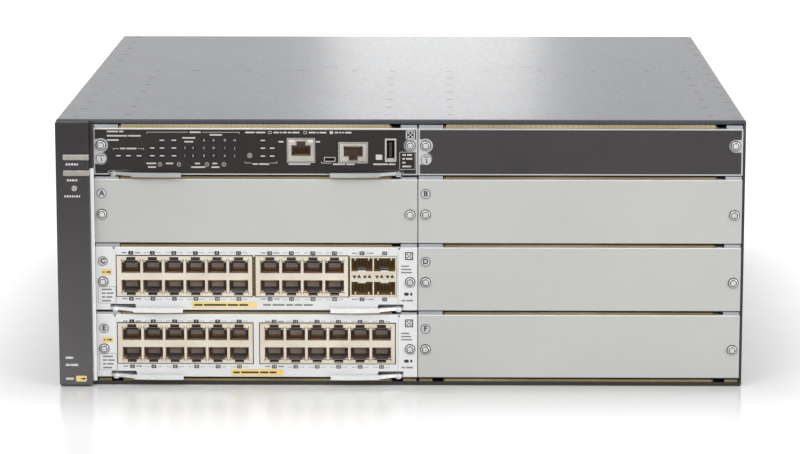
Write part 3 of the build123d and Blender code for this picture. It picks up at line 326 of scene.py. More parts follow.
def push(piece: Piece, test: FaceTest, shift: Point, extrude: bool = True) -> Piece:
    """Extrudes, or only moves, the faces that pass a test by a shift.

    Args:
        piece: The piece.
        test: Tells by middle and normal which faces are meant.
        shift: How far, in millimetres.
        extrude: Whether walls are drawn along.

    Returns:
        The piece.
    """
    pick_faces(piece, test)
    value = tuple(c * MM for c in shift)
    if extrude:
        bpy.ops.mesh.extrude_region_move(TRANSFORM_OT_translate={"value": value})
    else:
        bpy.ops.transform.translate(value=value)
    leave_edit()
    return piece


def unite(piece: Piece, others: Iterable[Piece]) -> Piece:
    """Unites a piece with others, which aren't kept.

    Args:
        piece: The piece.
        others: What is added to it.

    Returns:
        The piece.
    """
    for other in others:
        modify(piece, "BOOLEAN", operation="UNION", solver="EXACT", object=other)
        bpy.data.objects.remove(other)
    return piece


def copies(piece: Piece, shifts: Iterable[Point]) -> list[Piece]:
    """Copies a piece, which isn't kept, once for each shift.

    Args:
        piece: The piece.
        shifts: Where the copies stand.

    Returns:
        The copies.
    """
    made = []
    for shift in shifts:
        copy = piece.copy()
        copy.data = piece.data.copy()
        copy.data.transform(Matrix.Translation([c * MM for c in shift]))
        bpy.context.scene.collection.objects.link(copy)
        made.append(copy)
    bpy.data.objects.remove(piece)
    return made


def join(parts: Sequence[Piece]) -> Piece:
    """Joins parts into one piece.

    Args:
        parts: At least one part.

    Returns:
        The one piece.
    """
    clear_selection()
    for part in parts:
        part.select_set(True)
    bpy.context.view_layer.objects.active = parts[0]
    if len(parts) > 1:
        bpy.ops.object.join()
    return bpy.context.object


def smooth(piece: Piece, angle: float = 30.0) -> Piece:
    """Shades a piece smooth, apart from edges sharper than an angle in degrees.

    Args:
        piece: The piece.
        angle: The sharpest edge still smooth, in degrees.

    Returns:
        The piece.
    """
    take(piece)
    bpy.ops.object.shade_smooth_by_angle(angle=math.radians(angle))
    return piece


# Places and print


def corners(node: str) -> tuple[Vector, Vector]:
    """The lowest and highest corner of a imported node."""
    low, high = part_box(node)
    return low / MM, high / MM


@dataclass(frozen=True)
class Face:
    """A flat face that looks to the front. What is put on it is measured from its lower left corner."""

    left: float = 0.0
    bottom: float = 0.0
    y: float = 0.0

    def lifted(self, height: float) -> "Face":
        """The same face, nearer to the front by a height."""
        return replace(self, y=self.y - height)

    def pad(self, x0: float, x1: float, z0: float, z1: float, corner: float = 0.2, proud: float = PRINT) -> Piece:
        """A thin plate with round corners.

        Args:
            x0: Left end.
            x1: Right end.
            z0: Bottom.
            z1: Top.
            corner: Radius of the corners.
            proud: How far it stands out.

        Returns:
            The plate.
        """
        plate = block((self.left + x0, self.y - proud, self.bottom + z0),
                      (self.left + x1, self.y + SUNK, self.bottom + z1))
        return round_edges(plate, Axis.Y, min(corner, (x1 - x0) * 0.45, (z1 - z0) * 0.45))

    def outline(self, x0: float, x1: float, z0: float, z1: float, line: float = 0.3, corner: float = 0.4) -> Piece:
        """A printed frame: a plate whose middle is cut through."""
        return cut_through(self.pad(x0, x1, z0, z1, corner), line)

    def ring(self, x: float, z: float, outer: float, inner: float) -> Piece:
        """A printed ring between two radii."""
        disc = rod(Axis.Y, (self.left + x, self.y - PRINT, self.bottom + z), PRINT + SUNK, outer)
        return cut_through(disc, outer - inner)

    def figure(self, text: str, x: float, z: float, height: float, proud: float = PRINT,
               weight: float = 0.015) -> Piece:
        """A plain number or slot letter.

        Args:
            text: The number or the letter.
            x: Its centre.
            z: Its centre.
            height: Its height.
            proud: How far it stands out.
            weight: How much its strokes are thickened, as a share of its height.

        Returns:
            The figure as a mesh.
        """
        clear_selection()
        bpy.ops.object.text_add()
        words = bpy.context.object
        for trait, value in (("body", text), ("size", height * MM / 0.7), ("align_x", "CENTER"),
                             ("align_y", "CENTER"), ("resolution_u", 2), ("extrude", (proud + SUNK) / 2 * MM),
                             ("offset", height * MM * weight)):
            setattr(words.data, trait, value)
        bpy.ops.object.convert(target="MESH")
        bpy.ops.object.mode_set(mode="EDIT")
        bpy.ops.mesh.select_all(action="SELECT")
        bpy.ops.mesh.remove_doubles(threshold=1e-7)
        leave_edit()
        words.rotation_euler = (math.pi / 2, 0, 0)
        words.location = ((self.left + x) * MM, (self.y + (SUNK - proud) / 2) * MM, (self.bottom + z) * MM)
        return settle()

    def bars(self, x0: float, z: float, lengths: Sequence[float], height: float = 0.9, gap: float = 0.6) -> list[Piece]:
        """A line of print shown as plain bars, one for each word.

        Args:
            x0: Left end.
            z: Middle of the line.
            lengths: The bars' lengths.
            height: Height of the bars.
            gap: Room between two bars.

        Returns:
            The bars.
        """
        made = []
        for length in lengths:
            made.append(self.pad(x0, x0 + length, z - height / 2, z + height / 2, height * 0.3))
            x0 += length + gap
        return made

    def bracket(self, ends: Span, z: float, tick: float, gap: Span, line: float = 0.28) -> list[Piece]:
        """A printed bracket: two lines with a tick at each outer end and room for a word between them.

        Args:
            ends: Its left and right end.
            z: Height of the lines.
            tick: Length of the ticks, negative where they point down.
            gap: Where the room between the lines starts and ends.
            line: Width of the print.

        Returns:
            The two halves.
        """
        made = []
        for outer, inner, side in zip(ends, gap, (-1, 1)):
            a, b = sorted((self.left + outer, self.left + inner))
            middle = self.bottom + z
            half = block((a, self.y - PRINT, middle - line / 2), (b, self.y + SUNK, middle + line / 2))
            push(half, facing(Axis.X, side), (side * line, 0, 0))
            edge = self.left + outer + side * line / 2
            push(half, lambda centre, normal: normal.z * math.copysign(1, tick) > FACING
                 and abs(centre.x - edge) < line, (0, 0, tick))
            made.append(half)
        return made

    def arrow(self, x: float, z: float) -> list[Piece]:
        """A plain arrow that points right: a shaft and a three-sided head.

        Args:
            x: The head's place, from the corner.
            z: Its height, from the corner.

        Returns:
            The arrow's parts.
        """
        shaft = self.pad(x - 1.0, x + 0.9, z - 0.35, z + 0.35, 0.1)
        place = (self.left + x + 1.3, self.y, self.bottom + z)
        return [shaft, wedge(-PRINT, PRINT + SUNK, 1.1, 90, place)]

    def code(self, x: float, z: float, size: float) -> list[Piece]:
        """A square field of plain cells in a checked order, which says nothing.

        Args:
            x: Its middle, from the corner.
            z: Its middle, from the corner.
            size: Its side.

        Returns:
            The cells.
        """
        cells = [self.outline(x, x + size, z, z + size, size * 0.13, 0.1)]
        step = size / 5
        for i, j in ((1, 1), (1, 3), (2, 2), (3, 1), (3, 3)):
            x0, z0 = x + (i + 0.05) * step, z + (j + 0.05) * step
            cells.append(self.pad(x0, x0 + step * 0.9, z0, z0 + step * 0.9, 0.05))
        return cells


@dataclass(frozen=True)
class Slot(Face):
    """The face of one slot of the card cage."""

    width: float = 0.0
    height: float = 0.0

    @classmethod
    def of(cls, column_node: str, row_node: str) -> "Slot":
        """Takes the column from one filler panel and the row from another."""
        column, row = corners(column_node), corners(row_node)
        return cls(column[0].x, row[0].z, column[0].y, column[1].x - column[0].x, row[1].z - row[0].z)

    @property
    def top(self) -> float:
        """The height of its upper edge."""
        return self.bottom + self.height


# Node groups


class Wiring:
    """Adds nodes to one tree and links them."""

    MIX_SOCKETS: ClassVar[dict[str, tuple[int, int, int]]] = {"FLOAT": (2, 3, 0), "RGBA": (6, 7, 2)}

    def __init__(self, tree: bpy.types.NodeTree) -> None:
        """Keeps the tree."""
        self.tree = tree

    def feed(self, node: bpy.types.Node, values: dict[Any, Any]) -> None:
        """Links the values that are sockets to a node's inputs, and sets the others.

        Args:
            node: The node.
            values: A socket or a plain value for each input.
        """
        for key, value in values.items():
            if isinstance(value, Socket):
                self.tree.links.new(value, node.inputs[key])
            else:
                node.inputs[key].default_value = value

    def add(self, kind: str, values: dict[Any, Any] | None = None, **traits: Any) -> bpy.types.Node:
        """Adds a shader node.

        Args:
            kind: Its type, without ShaderNode.
            values: What its inputs get, by name or number.
            traits: Its other settings.

        Returns:
            The node.
        """
        node = self.tree.nodes.new(f"ShaderNode{kind}")
        for trait, value in traits.items():
            setattr(node, trait, value)
        self.feed(node, values or {})
        return node

    def math(self, operation: str, a: Any, b: Any) -> Socket:
        """Works on two numbers."""
        return self.add("Math", {0: a, 1: b}, operation=operation).outputs[0]

    def ramp(self, source: Socket, start: Span = (0.0, 1.0), end: Span = (0.0, 1.0), **traits: Any) -> Socket:
        """Maps a number from one span to another."""
        values = {"Value": source, "From Min": start[0], "From Max": start[1], "To Min": end[0], "To Max": end[1]}
        return self.add("MapRange", values, **traits).outputs["Result"]

    def mix(self, kind: str, share: Socket, a: Any, b: Any) -> Socket:
        """Mixes two colours or two numbers by a share."""
        first, second, result = self.MIX_SOCKETS[kind]
        return self.add("Mix", {0: share, first: a, second: b}, data_type=kind).outputs[result]

    def group(self, name: str, place: Socket, **values: Any) -> Any:
        """Puts a shared node group in and returns its outputs.

        Args:
            name: The group's name.
            place: The place in space, in metres.
            values: A value for each further input.

        Returns:
            The group's outputs.
        """
        node = self.add("Group", node_tree=Groups.get(name))
        self.feed(node, {"Vector": place, **values})
        return node.outputs


class Groups:
    """Shader node groups that several finishes share, each built once."""

    SOCKETS: ClassVar[dict[str, tuple[dict[str, str], dict[str, str]]]] = {
        "surface_tone": ({"Vector": "Vector", "Colour": "Color", "Shade": "Color", "Scale": "Float"},
                         {"Colour": "Color", "Mask": "Float"}),
        "fine_grain": ({"Vector": "Vector", "Stretch": "Vector"}, {"Height": "Float", "Streak": "Float"}),
        "inside_box": ({"Vector": "Vector", "Low": "Vector", "High": "Vector"}, {"Mask": "Float"}),
    }

    @classmethod
    def get(cls, name: str) -> bpy.types.NodeTree:
        """Finds a group, or builds it when it is first asked for.

        Args:
            name: The group's name.

        Returns:
            The group.
        """
        if name in bpy.data.node_groups:
            return bpy.data.node_groups[name]
        tree = bpy.data.node_groups.new(name, "ShaderNodeTree")
        for sockets, way in zip(cls.SOCKETS[name], ("INPUT", "OUTPUT")):
            for socket, kind in sockets.items():
                tree.interface.new_socket(socket, in_out=way, socket_type=f"NodeSocket{kind}")
        entry, end = tree.nodes.new("NodeGroupInput").outputs, tree.nodes.new("NodeGroupOutput").inputs
        build = {"surface_tone": cls.surface_tone, "fine_grain": cls.fine_grain, "inside_box": cls.inside_box}[name]
        for socket, source in build(Wiring(tree), entry).items():
            tree.links.new(source, end[socket])
        return tree

    @staticmethod
    def surface_tone(net: Wiring, entry: Any) -> dict[str, Socket]:
        """Cloudy change between a colour and a shade of it.

        Args:
            net: Adds the nodes.
            entry: The group's inputs.

        Returns:
            The group's outputs.
        """
        noise = net.add("TexNoise", {"Vector": entry["Vector"], "Scale": entry["Scale"], "Detail": 5})
        share = net.ramp(noise.outputs["Fac"], (0.35, 0.65))
        return {"Colour": net.mix("RGBA", share, entry["Colour"], entry["Shade"]), "Mask": share}

    @staticmethod
    def fine_grain(net: Wiring, entry: Any) -> dict[str, Socket]:
        """Fine height noise, stretched where a finish is brushed.

        Args:
            net: Adds the nodes.
            entry: The group's inputs.

        Returns:
            The group's outputs.
        """
        place = net.add("VectorMath", {0: entry["Vector"], 1: entry["Stretch"]}, operation="MULTIPLY").outputs["Vector"]
        return {socket: net.add("TexNoise", {"Vector": place, "Scale": scale, "Detail": detail}).outputs["Fac"]
                for socket, scale, detail in (("Height", 1.0, 3), ("Streak", 0.25, 2))}

    @staticmethod
    def inside_box(net: Wiring, entry: Any) -> dict[str, Socket]:
        """A mask that is 1 between two corners and 0 outside.

        Args:
            net: Adds the nodes.
            entry: The group's inputs.

        Returns:
            The group's outputs.
        """
        gaps = []
        for a, b in (("Vector", "Low"), ("High", "Vector")):
            gap = net.add("VectorMath", {0: entry[a], 1: entry[b]}, operation="SUBTRACT").outputs["Vector"]
            gaps += net.add("SeparateXYZ", {0: gap}).outputs.values()
        lowest = gaps[0]
        for gap in gaps[1:]:
            lowest = net.math("MINIMUM", lowest, gap)
        return {"Mask": net.math("GREATER_THAN", lowest, 0.0)}


# Finishes


def linear(code: str) -> tuple[float, ...]:
    """The linear colour of a hex code such as "c9cac7"."""
    values = [int(code[i:i + 2], 16) / 255 for i in (0, 2, 4)]
    return (*(v / 12.92 if v <= 0.04045 else ((v + 0.055) / 1.055) ** 2.4 for v in values), 1.0)


@dataclass(frozen=True)
class Zone:
    """A part of a node, between two corners, that has a look of its own."""

    low: Point
    high: Point
    colour: str
    roughness: float
    metallic: float = 0.0

    @classmethod
    def slab(cls, colour: str, roughness: float, metallic: float = 0.0, y: Span = (-FAR, FAR),
             z: Span = (-FAR, FAR)) -> "Zone":
        """Everything between two planes in Y or in Z."""
        return cls((-FAR, y[0], z[0]), (FAR, y[1], z[1]), colour, roughness, metallic)


@dataclass(frozen=True)
class Finish:
    """A surface: its colour, how it varies, its grain and its gloss.

    The grain's stretch is its frequency per metre along X, Y and Z.
    """

    name: str
    colour: str
    shade: str
    roughness: float
    metallic: float = 0.0
    specular: float = 0.5
    cloud_scale: float = 14.0
    stretch: Point = (1800.0, 1800.0, 1800.0)
    bump: float = 0.15
    roughness_spread: float = 0.06
    coat: float = 0.0
    glow: float = 0.0
    zones: tuple[Zone, ...] = ()

    BUMP_METRES: ClassVar[float] = 0.0002
    COAT_ROUGHNESS: ClassVar[float] = 0.12
    ZONE_SCALE: ClassVar[float] = 40.0
    ZONE_SHADE: ClassVar[float] = 0.94

    def material(self) -> bpy.types.Material:
        """Builds the material, or finds it if it was built before.

        Returns:
            The material.
        """
        label = f"{self.name}_finish"
        if label in bpy.data.materials:
            return bpy.data.materials[label]
        made = bpy.data.materials.new(label)
        made.use_nodes = True
        net = Wiring(made.node_tree)
        place = net.add("TexCoord").outputs["Object"]
        grain = net.group("fine_grain", place, Stretch=self.stretch)
        bump = net.add("Bump", {"Strength": self.bump, "Distance": self.BUMP_METRES, "Height": grain["Height"]})
        tone = net.group("surface_tone", place, Colour=linear(self.colour), Shade=linear(self.shade),
                         Scale=self.cloud_scale)
        colour = self.pattern(net, place, tone["Colour"])
        roughness = net.ramp(grain["Streak"], end=(max(0.02, self.roughness - self.roughness_spread),
                                                   min(1.0, self.roughness + self.roughness_spread)))
        metallic: Any = self.metallic
        for zone in self.zones:
            mask = net.group("inside_box", place, Low=[c * MM for c in zone.low],
                             High=[c * MM for c in zone.high])["Mask"]
            shade = [c * self.ZONE_SHADE for c in linear(zone.colour)[:3]] + [1.0]
            inner = net.group("surface_tone", place, Colour=linear(zone.colour), Shade=shade, Scale=self.ZONE_SCALE)
            colour = net.mix("RGBA", mask, colour, inner["Colour"])
            roughness = net.mix("FLOAT", mask, roughness, zone.roughness)
            metallic = net.mix("FLOAT", mask, metallic, zone.metallic)
        values = {"Base Color": colour, "Roughness": roughness, "Metallic": metallic, "Normal": bump.outputs["Normal"],
                  "Specular IOR Level": self.specular, "Coat Weight": self.coat, "Coat Roughness": self.COAT_ROUGHNESS}
        if self.glow:
            values |= {"Emission Color": linear(self.colour), "Emission Strength": self.glow}
        net.feed(made.node_tree.nodes["Principled BSDF"], values)
        return made

    def pattern(self, net: Wiring, place: Socket, colour: Socket) -> Socket:
        """Adds nothing here; a finish with a pattern of its own overrides this."""
        return colour


@dataclass(frozen=True)
class BoardFinish(Finish):
    """A circuit board's film with lighter tracks under it."""

    track: str = "1f6b3c"

    def pattern(self, net: Wiring, place: Socket, colour: Socket) -> Socket:
        """Lays thin tracks over the film.

        Args:
            net: Adds the nodes.
            place: The place in space, in metres.
            colour: The colour so far.

        Returns:
            The new colour.
        """
        return net.add("TexBrick", {
            "Vector": place, "Color1": colour, "Color2": colour, "Mortar": linear(self.track), "Scale": 90.0,
            "Mortar Size": 0.035, "Mortar Smooth": 0.1, "Brick Width": 0.9, "Row Height": 0.16}).outputs["Color"]


@dataclass(frozen=True)
class FadedFinish(Finish):
    """A finish whose colour goes over into another one with height, between two heights: painted light that changes
    with height.
    """

    top_colour: str = "000000"
    fade_from: float = 0.0
    fade_to: float = 100.0

    def pattern(self, net: Wiring, place: Socket, colour: Socket) -> Socket:
        """Mixes the upper colour in by height.

        Args:
            net: Adds the nodes.
            place: The place in space, in metres.
            colour: The colour so far.

        Returns:
            The new colour.
        """
        height = net.add("SeparateXYZ", {0: place}).outputs["Z"]
        share = net.ramp(height, (self.fade_from * MM, self.fade_to * MM))
        return net.mix("RGBA", share, colour, linear(self.top_colour))


INK_WHITE = Finish("white_ink", "d9d7d5", "cbc9c6", 0.55, bump=0.05)
INK_TAB = Finish("tab_ink", "5e5f62", "545558", 0.55, bump=0.05)
INK_GREY = Finish("grey_ink", "8a8b8d", "7c7d80", 0.55, bump=0.05)
INK_DARK = Finish("dark_ink", "2b2a2c", "222124", 0.5, bump=0.05)
LABEL_YELLOW = Finish("yellow_label", "f7dc98", "f1d388", 0.5, bump=0.08)
# Glows though it is no lamp: painted light that lifts the shade inside the transceiver cages.
GLOWING_CAGE_GOLD = Finish("glowing_cage_gold", "a98d62", "8a7048", 0.4, metallic=0.2, cloud_scale=200.0, glow=0.06)
# The jacks' rooms and ledges glow a little though they are no lamps, and the rooms are paler than the plastic's own
# colour: painted light that lifts the shade inside the jacks.
GLOWING_PORT_PLASTIC = Finish("glowing_port_plastic", "a08b7e", "7f6c61", 0.5, specular=0.3, bump=0.2, cloud_scale=120.0,
                      glow=0.05)
GLOWING_LEDGE_PLASTIC = Finish("glowing_ledge_plastic", "9a8c83", "83776f", 0.4, specular=0.4, bump=0.1, glow=0.05)
CONTACT_GOLD = Finish("contact_gold", "c59a55", "a87f3f", 0.3, metallic=1.0, bump=0.05)
TONGUE_STEEL = Finish("tongue_steel", "a39d99", "86807c", 0.38, metallic=0.6, stretch=(300, 4000, 4000))
LIGHT_PIPE = Finish("light_pipe", "ebe5d8", "d6cdbb", 0.25, specular=0.6, bump=0.03)
WINDOW_DARK = Finish("dark_window", "1d1a1b", "141213", 0.3, specular=0.3, bump=0.02)
BADGE_SILVER = Finish("badge_silver", "d3d4d5", "c3c4c6", 0.36, metallic=0.2, stretch=(4000, 4000, 300))
# Dark rings: on the badges, and as painted shade in the gaps and grooves of the screws.
BADGE_RING_AND_SCREW_SHADE = Finish("badge_rim", "55565a", "46474a", 0.4, metallic=0.3)
EAR_STEEL = Finish("ear_steel", "b2b4b7", "a0a2a5", 0.34, metallic=0.4, stretch=(300, 3000, 3000))
# Painted shade: grey lines that stand for the shade in the grooves of a card's ears.
GROOVE_SHADE_GREY = Finish("groove_shade_grey", "b4b6b8", "a3a5a7", 0.6)
# Painted shade: dark pads and outlines where slits and gaps are, standing in for their shade.
SLIT_SHADE = Finish("slit_shade", "262322", "1c1a19", 0.6, specular=0.2)
# Painted shade: the dark line round each block of jacks, standing for the shadow in the gap round it.
BLOCK_GAP_SHADE = Finish("block_gap_shade", "43351f", "2f2415", 0.5, metallic=0.2, specular=0.2)
STRIP_CREAM = Finish("strip_cream", "eadfcc", "d8cbb4", 0.4, specular=0.5)
# The gold of the springs between blocks, darkened for the shade in their gaps, and the dark of the shield's cuts:
# partly real colour, partly painted shade.
GAP_GOLD_SHADED = Finish("gap_gold_shaded", "5a4726", "3f311a", 0.45, metallic=0.4, stretch=(4000, 4000, 500))
# Painted shade: dark fillings in the cover's pressed dashes.
MARK_SHADE = Finish("mark_shade", "2a2b2d", "222325", 0.8, specular=0.0)
# The contact fingers in two copies of one gold: a lighter one for the top row, which lies in light, and a darker one
# for the rows and hem below, which lie in shade; painted light and painted shade.
GOLD_FINGER_LIT = Finish("gold_finger_lit", "bdb091", "9e906d", 0.34, metallic=0.6, stretch=(400, 3000, 3000),
                     roughness_spread=0.12)
GOLD_FINGER_SHADED = Finish("gold_finger_shaded", "94886a", "776b4c", 0.36, metallic=0.7, stretch=(400, 3000, 3000),
                     roughness_spread=0.12)
SCREEN_BLACK = Finish("chip_black", "1d1d1f", "161618", 0.45, bump=0.2)
CAN_SILVER = Finish("can_silver", "b9bcc0", "a7aaae", 0.3, metallic=0.9, stretch=(3000, 3000, 200))
BOARD_WHITE = Finish("plate_white", "e4e4e2", "d8d8d5", 0.6)
LAMP_GREEN = Finish("lamp_green", "6fd08a", "55b873", 0.2, glow=0.5)

CHASSIS_PAINT = Finish("chassis_paint", "42454b", "3a3d43", 0.3, specular=0.42, cloud_scale=11.0,
                       stretch=(1500, 1500, 1500), bump=0.14, roughness_spread=0.06)
SIDE_PAINT = Finish("side_paint", "3a3735", "322f2d", 0.42, specular=0.3, cloud_scale=9.0, bump=0.15)
PLATED = Finish("plated_sheet", "b4b6b6", "a5a7a8", 0.38, metallic=0.7, cloud_scale=30.0,
                stretch=(900, 900, 900), roughness_spread=0.1)
# Lighter towards the bottom: painted light of the floor's bounce on the bezel.
BEZEL_WITH_PAINTED_BOUNCE = FadedFinish("bezel_plastic", "646263", "5b595a", 0.42, specular=0.25, cloud_scale=20.0,
                    stretch=(2500, 2500, 2500), bump=0.12, top_colour="332f30", fade_from=10.0, fade_to=165.0)
PEARL = Finish("pearl_light", "aaa69f", "97938c", 0.25, metallic=0.45, cloud_scale=60.0,
               stretch=(200, 4000, 4000), coat=0.4)
FILM = Finish("overlay_film", "3d393a", "373334", 0.42, specular=0.35, cloud_scale=12.0,
              stretch=(2600, 2600, 2600), bump=0.1)
FILM_DARK = Finish("module_film", "2a2625", "24201f", 0.4, specular=0.25, cloud_scale=12.0,
                   stretch=(2600, 2600, 2600), bump=0.1)
# Glows though it is no lamp: painted light on the wall's front beside the bezel, where the bezel casts shade.
GLOWING_STRIP_WHITE = Finish("glowing_strip_white", "f6f7f5", "eceeec", 0.4, metallic=0.1, stretch=(2000, 2000, 300), glow=0.28)
CARD_COLOUR = "ebecec"
# Painted highlight: the colour and the width of a near-white strip along each face's upper edge.
EDGE_HIGHLIGHT_COLOUR = "fbfbfa"
EDGE_HIGHLIGHT_WIDTH = 0.45
NICKEL = Finish("screw_nickel", "dcdbd9", "c3c2c0", 0.2, metallic=0.85, cloud_scale=200.0)
LEVER = Finish("lever_bright", "f3f4f4", "e6e7e8", 0.25, metallic=0.35, stretch=(250, 3500, 3500),
               roughness_spread=0.08)
LEVER_GREY = Finish("lever_grey", "b9babb", "a3a4a6", 0.22, metallic=0.7, stretch=(250, 3500, 3500),
                    roughness_spread=0.1)
INK_FILM = Finish("film_ink", "d0cdca", "c2bfbc", 0.55, bump=0.05)
BUTTON = Finish("button_plastic", "8f8d8b", "7d7b79", 0.4)
GUIDE = Finish("guide_plastic", "2a2a2b", "222223", 0.5)
FAN_BLACK = Finish("fan_plastic", "232324", "1b1b1c", 0.45, bump=0.2)
WIRE = Finish("guard_wire", "c3c4c4", "b0b1b2", 0.25, metallic=0.95)


class Assembly:
    """A set of pieces that ride on one body of the frame."""

    rider: str

    def keep(self, name: str, parts: Sequence[Piece], finish: Finish, slot: str = "", body: str = "") -> Piece:
        """Joins parts into one named piece, gives it its finish and lets it ride.

        Args:
            name: The piece's name.
            parts: What it is made of.
            finish: Its surface.
            slot: The record's material slot, if it has one; not used.
            body: The body that carries it, if it isn't the assembly's own.

        Returns:
            The finished piece.
        """
        piece = smooth(join(parts))
        piece.name = name
        piece.data.name = name
        piece.data.materials.clear()
        piece.data.materials.append(finish.material())
        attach(piece, body or self.rider)
        Log.info("%s: %d faces on %s", name, len(piece.data.polygons), body or self.rider)
        return piece


# Network jacks


@dataclass(frozen=True)
class JackInsert:
    """The inside of one jack: a dark room with a latch notch, eight contacts and the shield's spring tongue.

    It is built about X 0, from Y 0 at the jack's front and from Z 0 at the bottom of its room.
    """

    width: float = 12.4
    height: float = 7.3
    step_width: float = 8.6
    step_height: float = 1.2
    notch_width: float = 6.0
    notch_height: float = 3.3
    depth: float = 12.6
    recess: float = 0.45
    clearance: float = 0.04
    wall: float = 0.22
    contact_count: int = 8
    contact_pitch: float = 1.02
    contact_width: float = 0.42
    contact_sheet: float = 0.3
    window_width: float = 1.5
    window_gap: float = 0.1

    @property
    def window_reach(self) -> float:
        """How far the windows' middles lie from the jack's middle."""
        return self.step_width / 2 + self.window_width / 2 + self.window_gap

    def spread(self, latch: Latch, z0: float, z1: float) -> Span:
        """Two heights measured from the side that lies across from the latch, as the lower and the upper one."""
        return (z0, z1) if latch is Latch.UP else (self.height - z1, self.height - z0)

    def room(self, latch: Latch) -> Piece:
        """The walls of the room and its stepped notch.

        Args:
            latch: The latch's side.

        Returns:
            The piece.
        """
        c = self.clearance
        shell = centred(self.width / 2 - c, self.recess, self.depth, *self.spread(latch, c, self.height - c))
        unite(shell, [centred(width / 2 - c, self.recess, self.depth,
                              *self.spread(latch, self.height - 1.0, self.height + rise - c))
                      for width, rise in ((self.step_width, self.step_height), (self.notch_width, self.notch_height))])
        return hollow(shell, lambda centre, normal: normal.y < -FACING and centre.y < self.recess + 0.1, self.wall)

    def ledge(self, latch: Latch) -> Piece:
        """The pale insert at the back of the room, stepped towards the latch.

        Args:
            latch: The latch's side.

        Returns:
            The piece.
        """
        shelf = centred(self.width / 2 - 2.2, self.depth - 4.6, self.depth - 0.3, *self.spread(latch, 0.5, 5.2))
        push(shelf, FRONT, (0, -1.2, 0.5 * latch.value))
        return soften(shelf, 0.2, 1)

    def contacts(self, latch: Latch) -> Piece:
        """Eight springs that slope up from the side across from the latch.

        Args:
            latch: The latch's side.

        Returns:
            The piece.
        """
        up = latch.value
        wire = centred(self.contact_width / 2, 1.7, 8.4, *self.spread(latch, 0.35, 0.35 + self.contact_sheet))
        push(wire, REAR, (0, 0, 2.7 * up), extrude=False)
        push(wire, REAR, (0, 1.8, 0.1 * up))
        push(wire, FRONT, (0, -0.5, 0.25 * up))
        first = -(self.contact_count - 1) / 2 * self.contact_pitch
        return join(copies(wire, [(first + i * self.contact_pitch, 0, 0) for i in range(self.contact_count)]))

    def tongue(self, latch: Latch) -> Piece:
        """The shield's spring in the notch, which leans into the room, and a rib over it.

        Args:
            latch: The latch's side.

        Returns:
            The piece.
        """
        up = latch.value
        plate = centred(self.step_width / 2 - 0.35, 0.7, 1.4,
                        *self.spread(latch, self.height + 0.75, self.height + 1.0))
        push(plate, REAR, (0, 6.2, -1.6 * up))
        push(plate, REAR, (0, 0.9, 0.5 * up))
        rib = centred(self.notch_width / 2 - 0.5, 0.7, 9.0, *self.spread(latch, self.height + 2.3, self.height + 2.55))
        return join([plate, soften(rib, 0.1, 1)])

    def windows(self, latch: Latch) -> Piece:
        """The two small light windows beside the notch, in the front of the shield.

        Args:
            latch: The latch's side.

        Returns:
            The piece.
        """
        pane = centred(self.window_width / 2, -0.12, 0.6, *self.spread(latch, self.height + 1.4, self.height + 2.9))
        round_edges(pane, Axis.Y, 0.3)
        inset(pane, FRONT, 0.2, 0.05)
        return join(copies(pane, [(-self.window_reach, 0, 0), (self.window_reach, 0, 0)]))

    def hooks(self, latch: Latch) -> Piece:
        """Short dark lines round the light windows, where the shield is cut: painted shade in the cuts.

        Args:
            latch: The latch's side.

        Returns:
            The piece.
        """
        up, reach = latch.value, self.window_reach
        z0, z1 = self.spread(latch, self.height + 0.35, self.height + 0.75)
        line = centred(1.1, -0.08, 0.3, z0, z1)
        push(line, facing(Axis.Z, up), (0, 0, 0.1 * up))
        rise = self.window_width * 0.8 * up
        post = centred(0.16, -0.08, 0.3, min(z0, z0 + rise), max(z1, z1 + rise))
        outer = reach + 0.35 + self.window_width / 2
        return join(copies(line, [(-reach, 0, 0), (reach, 0, 0)]) + copies(post, [(-outer, 0, 0), (outer, 0, 0)]))


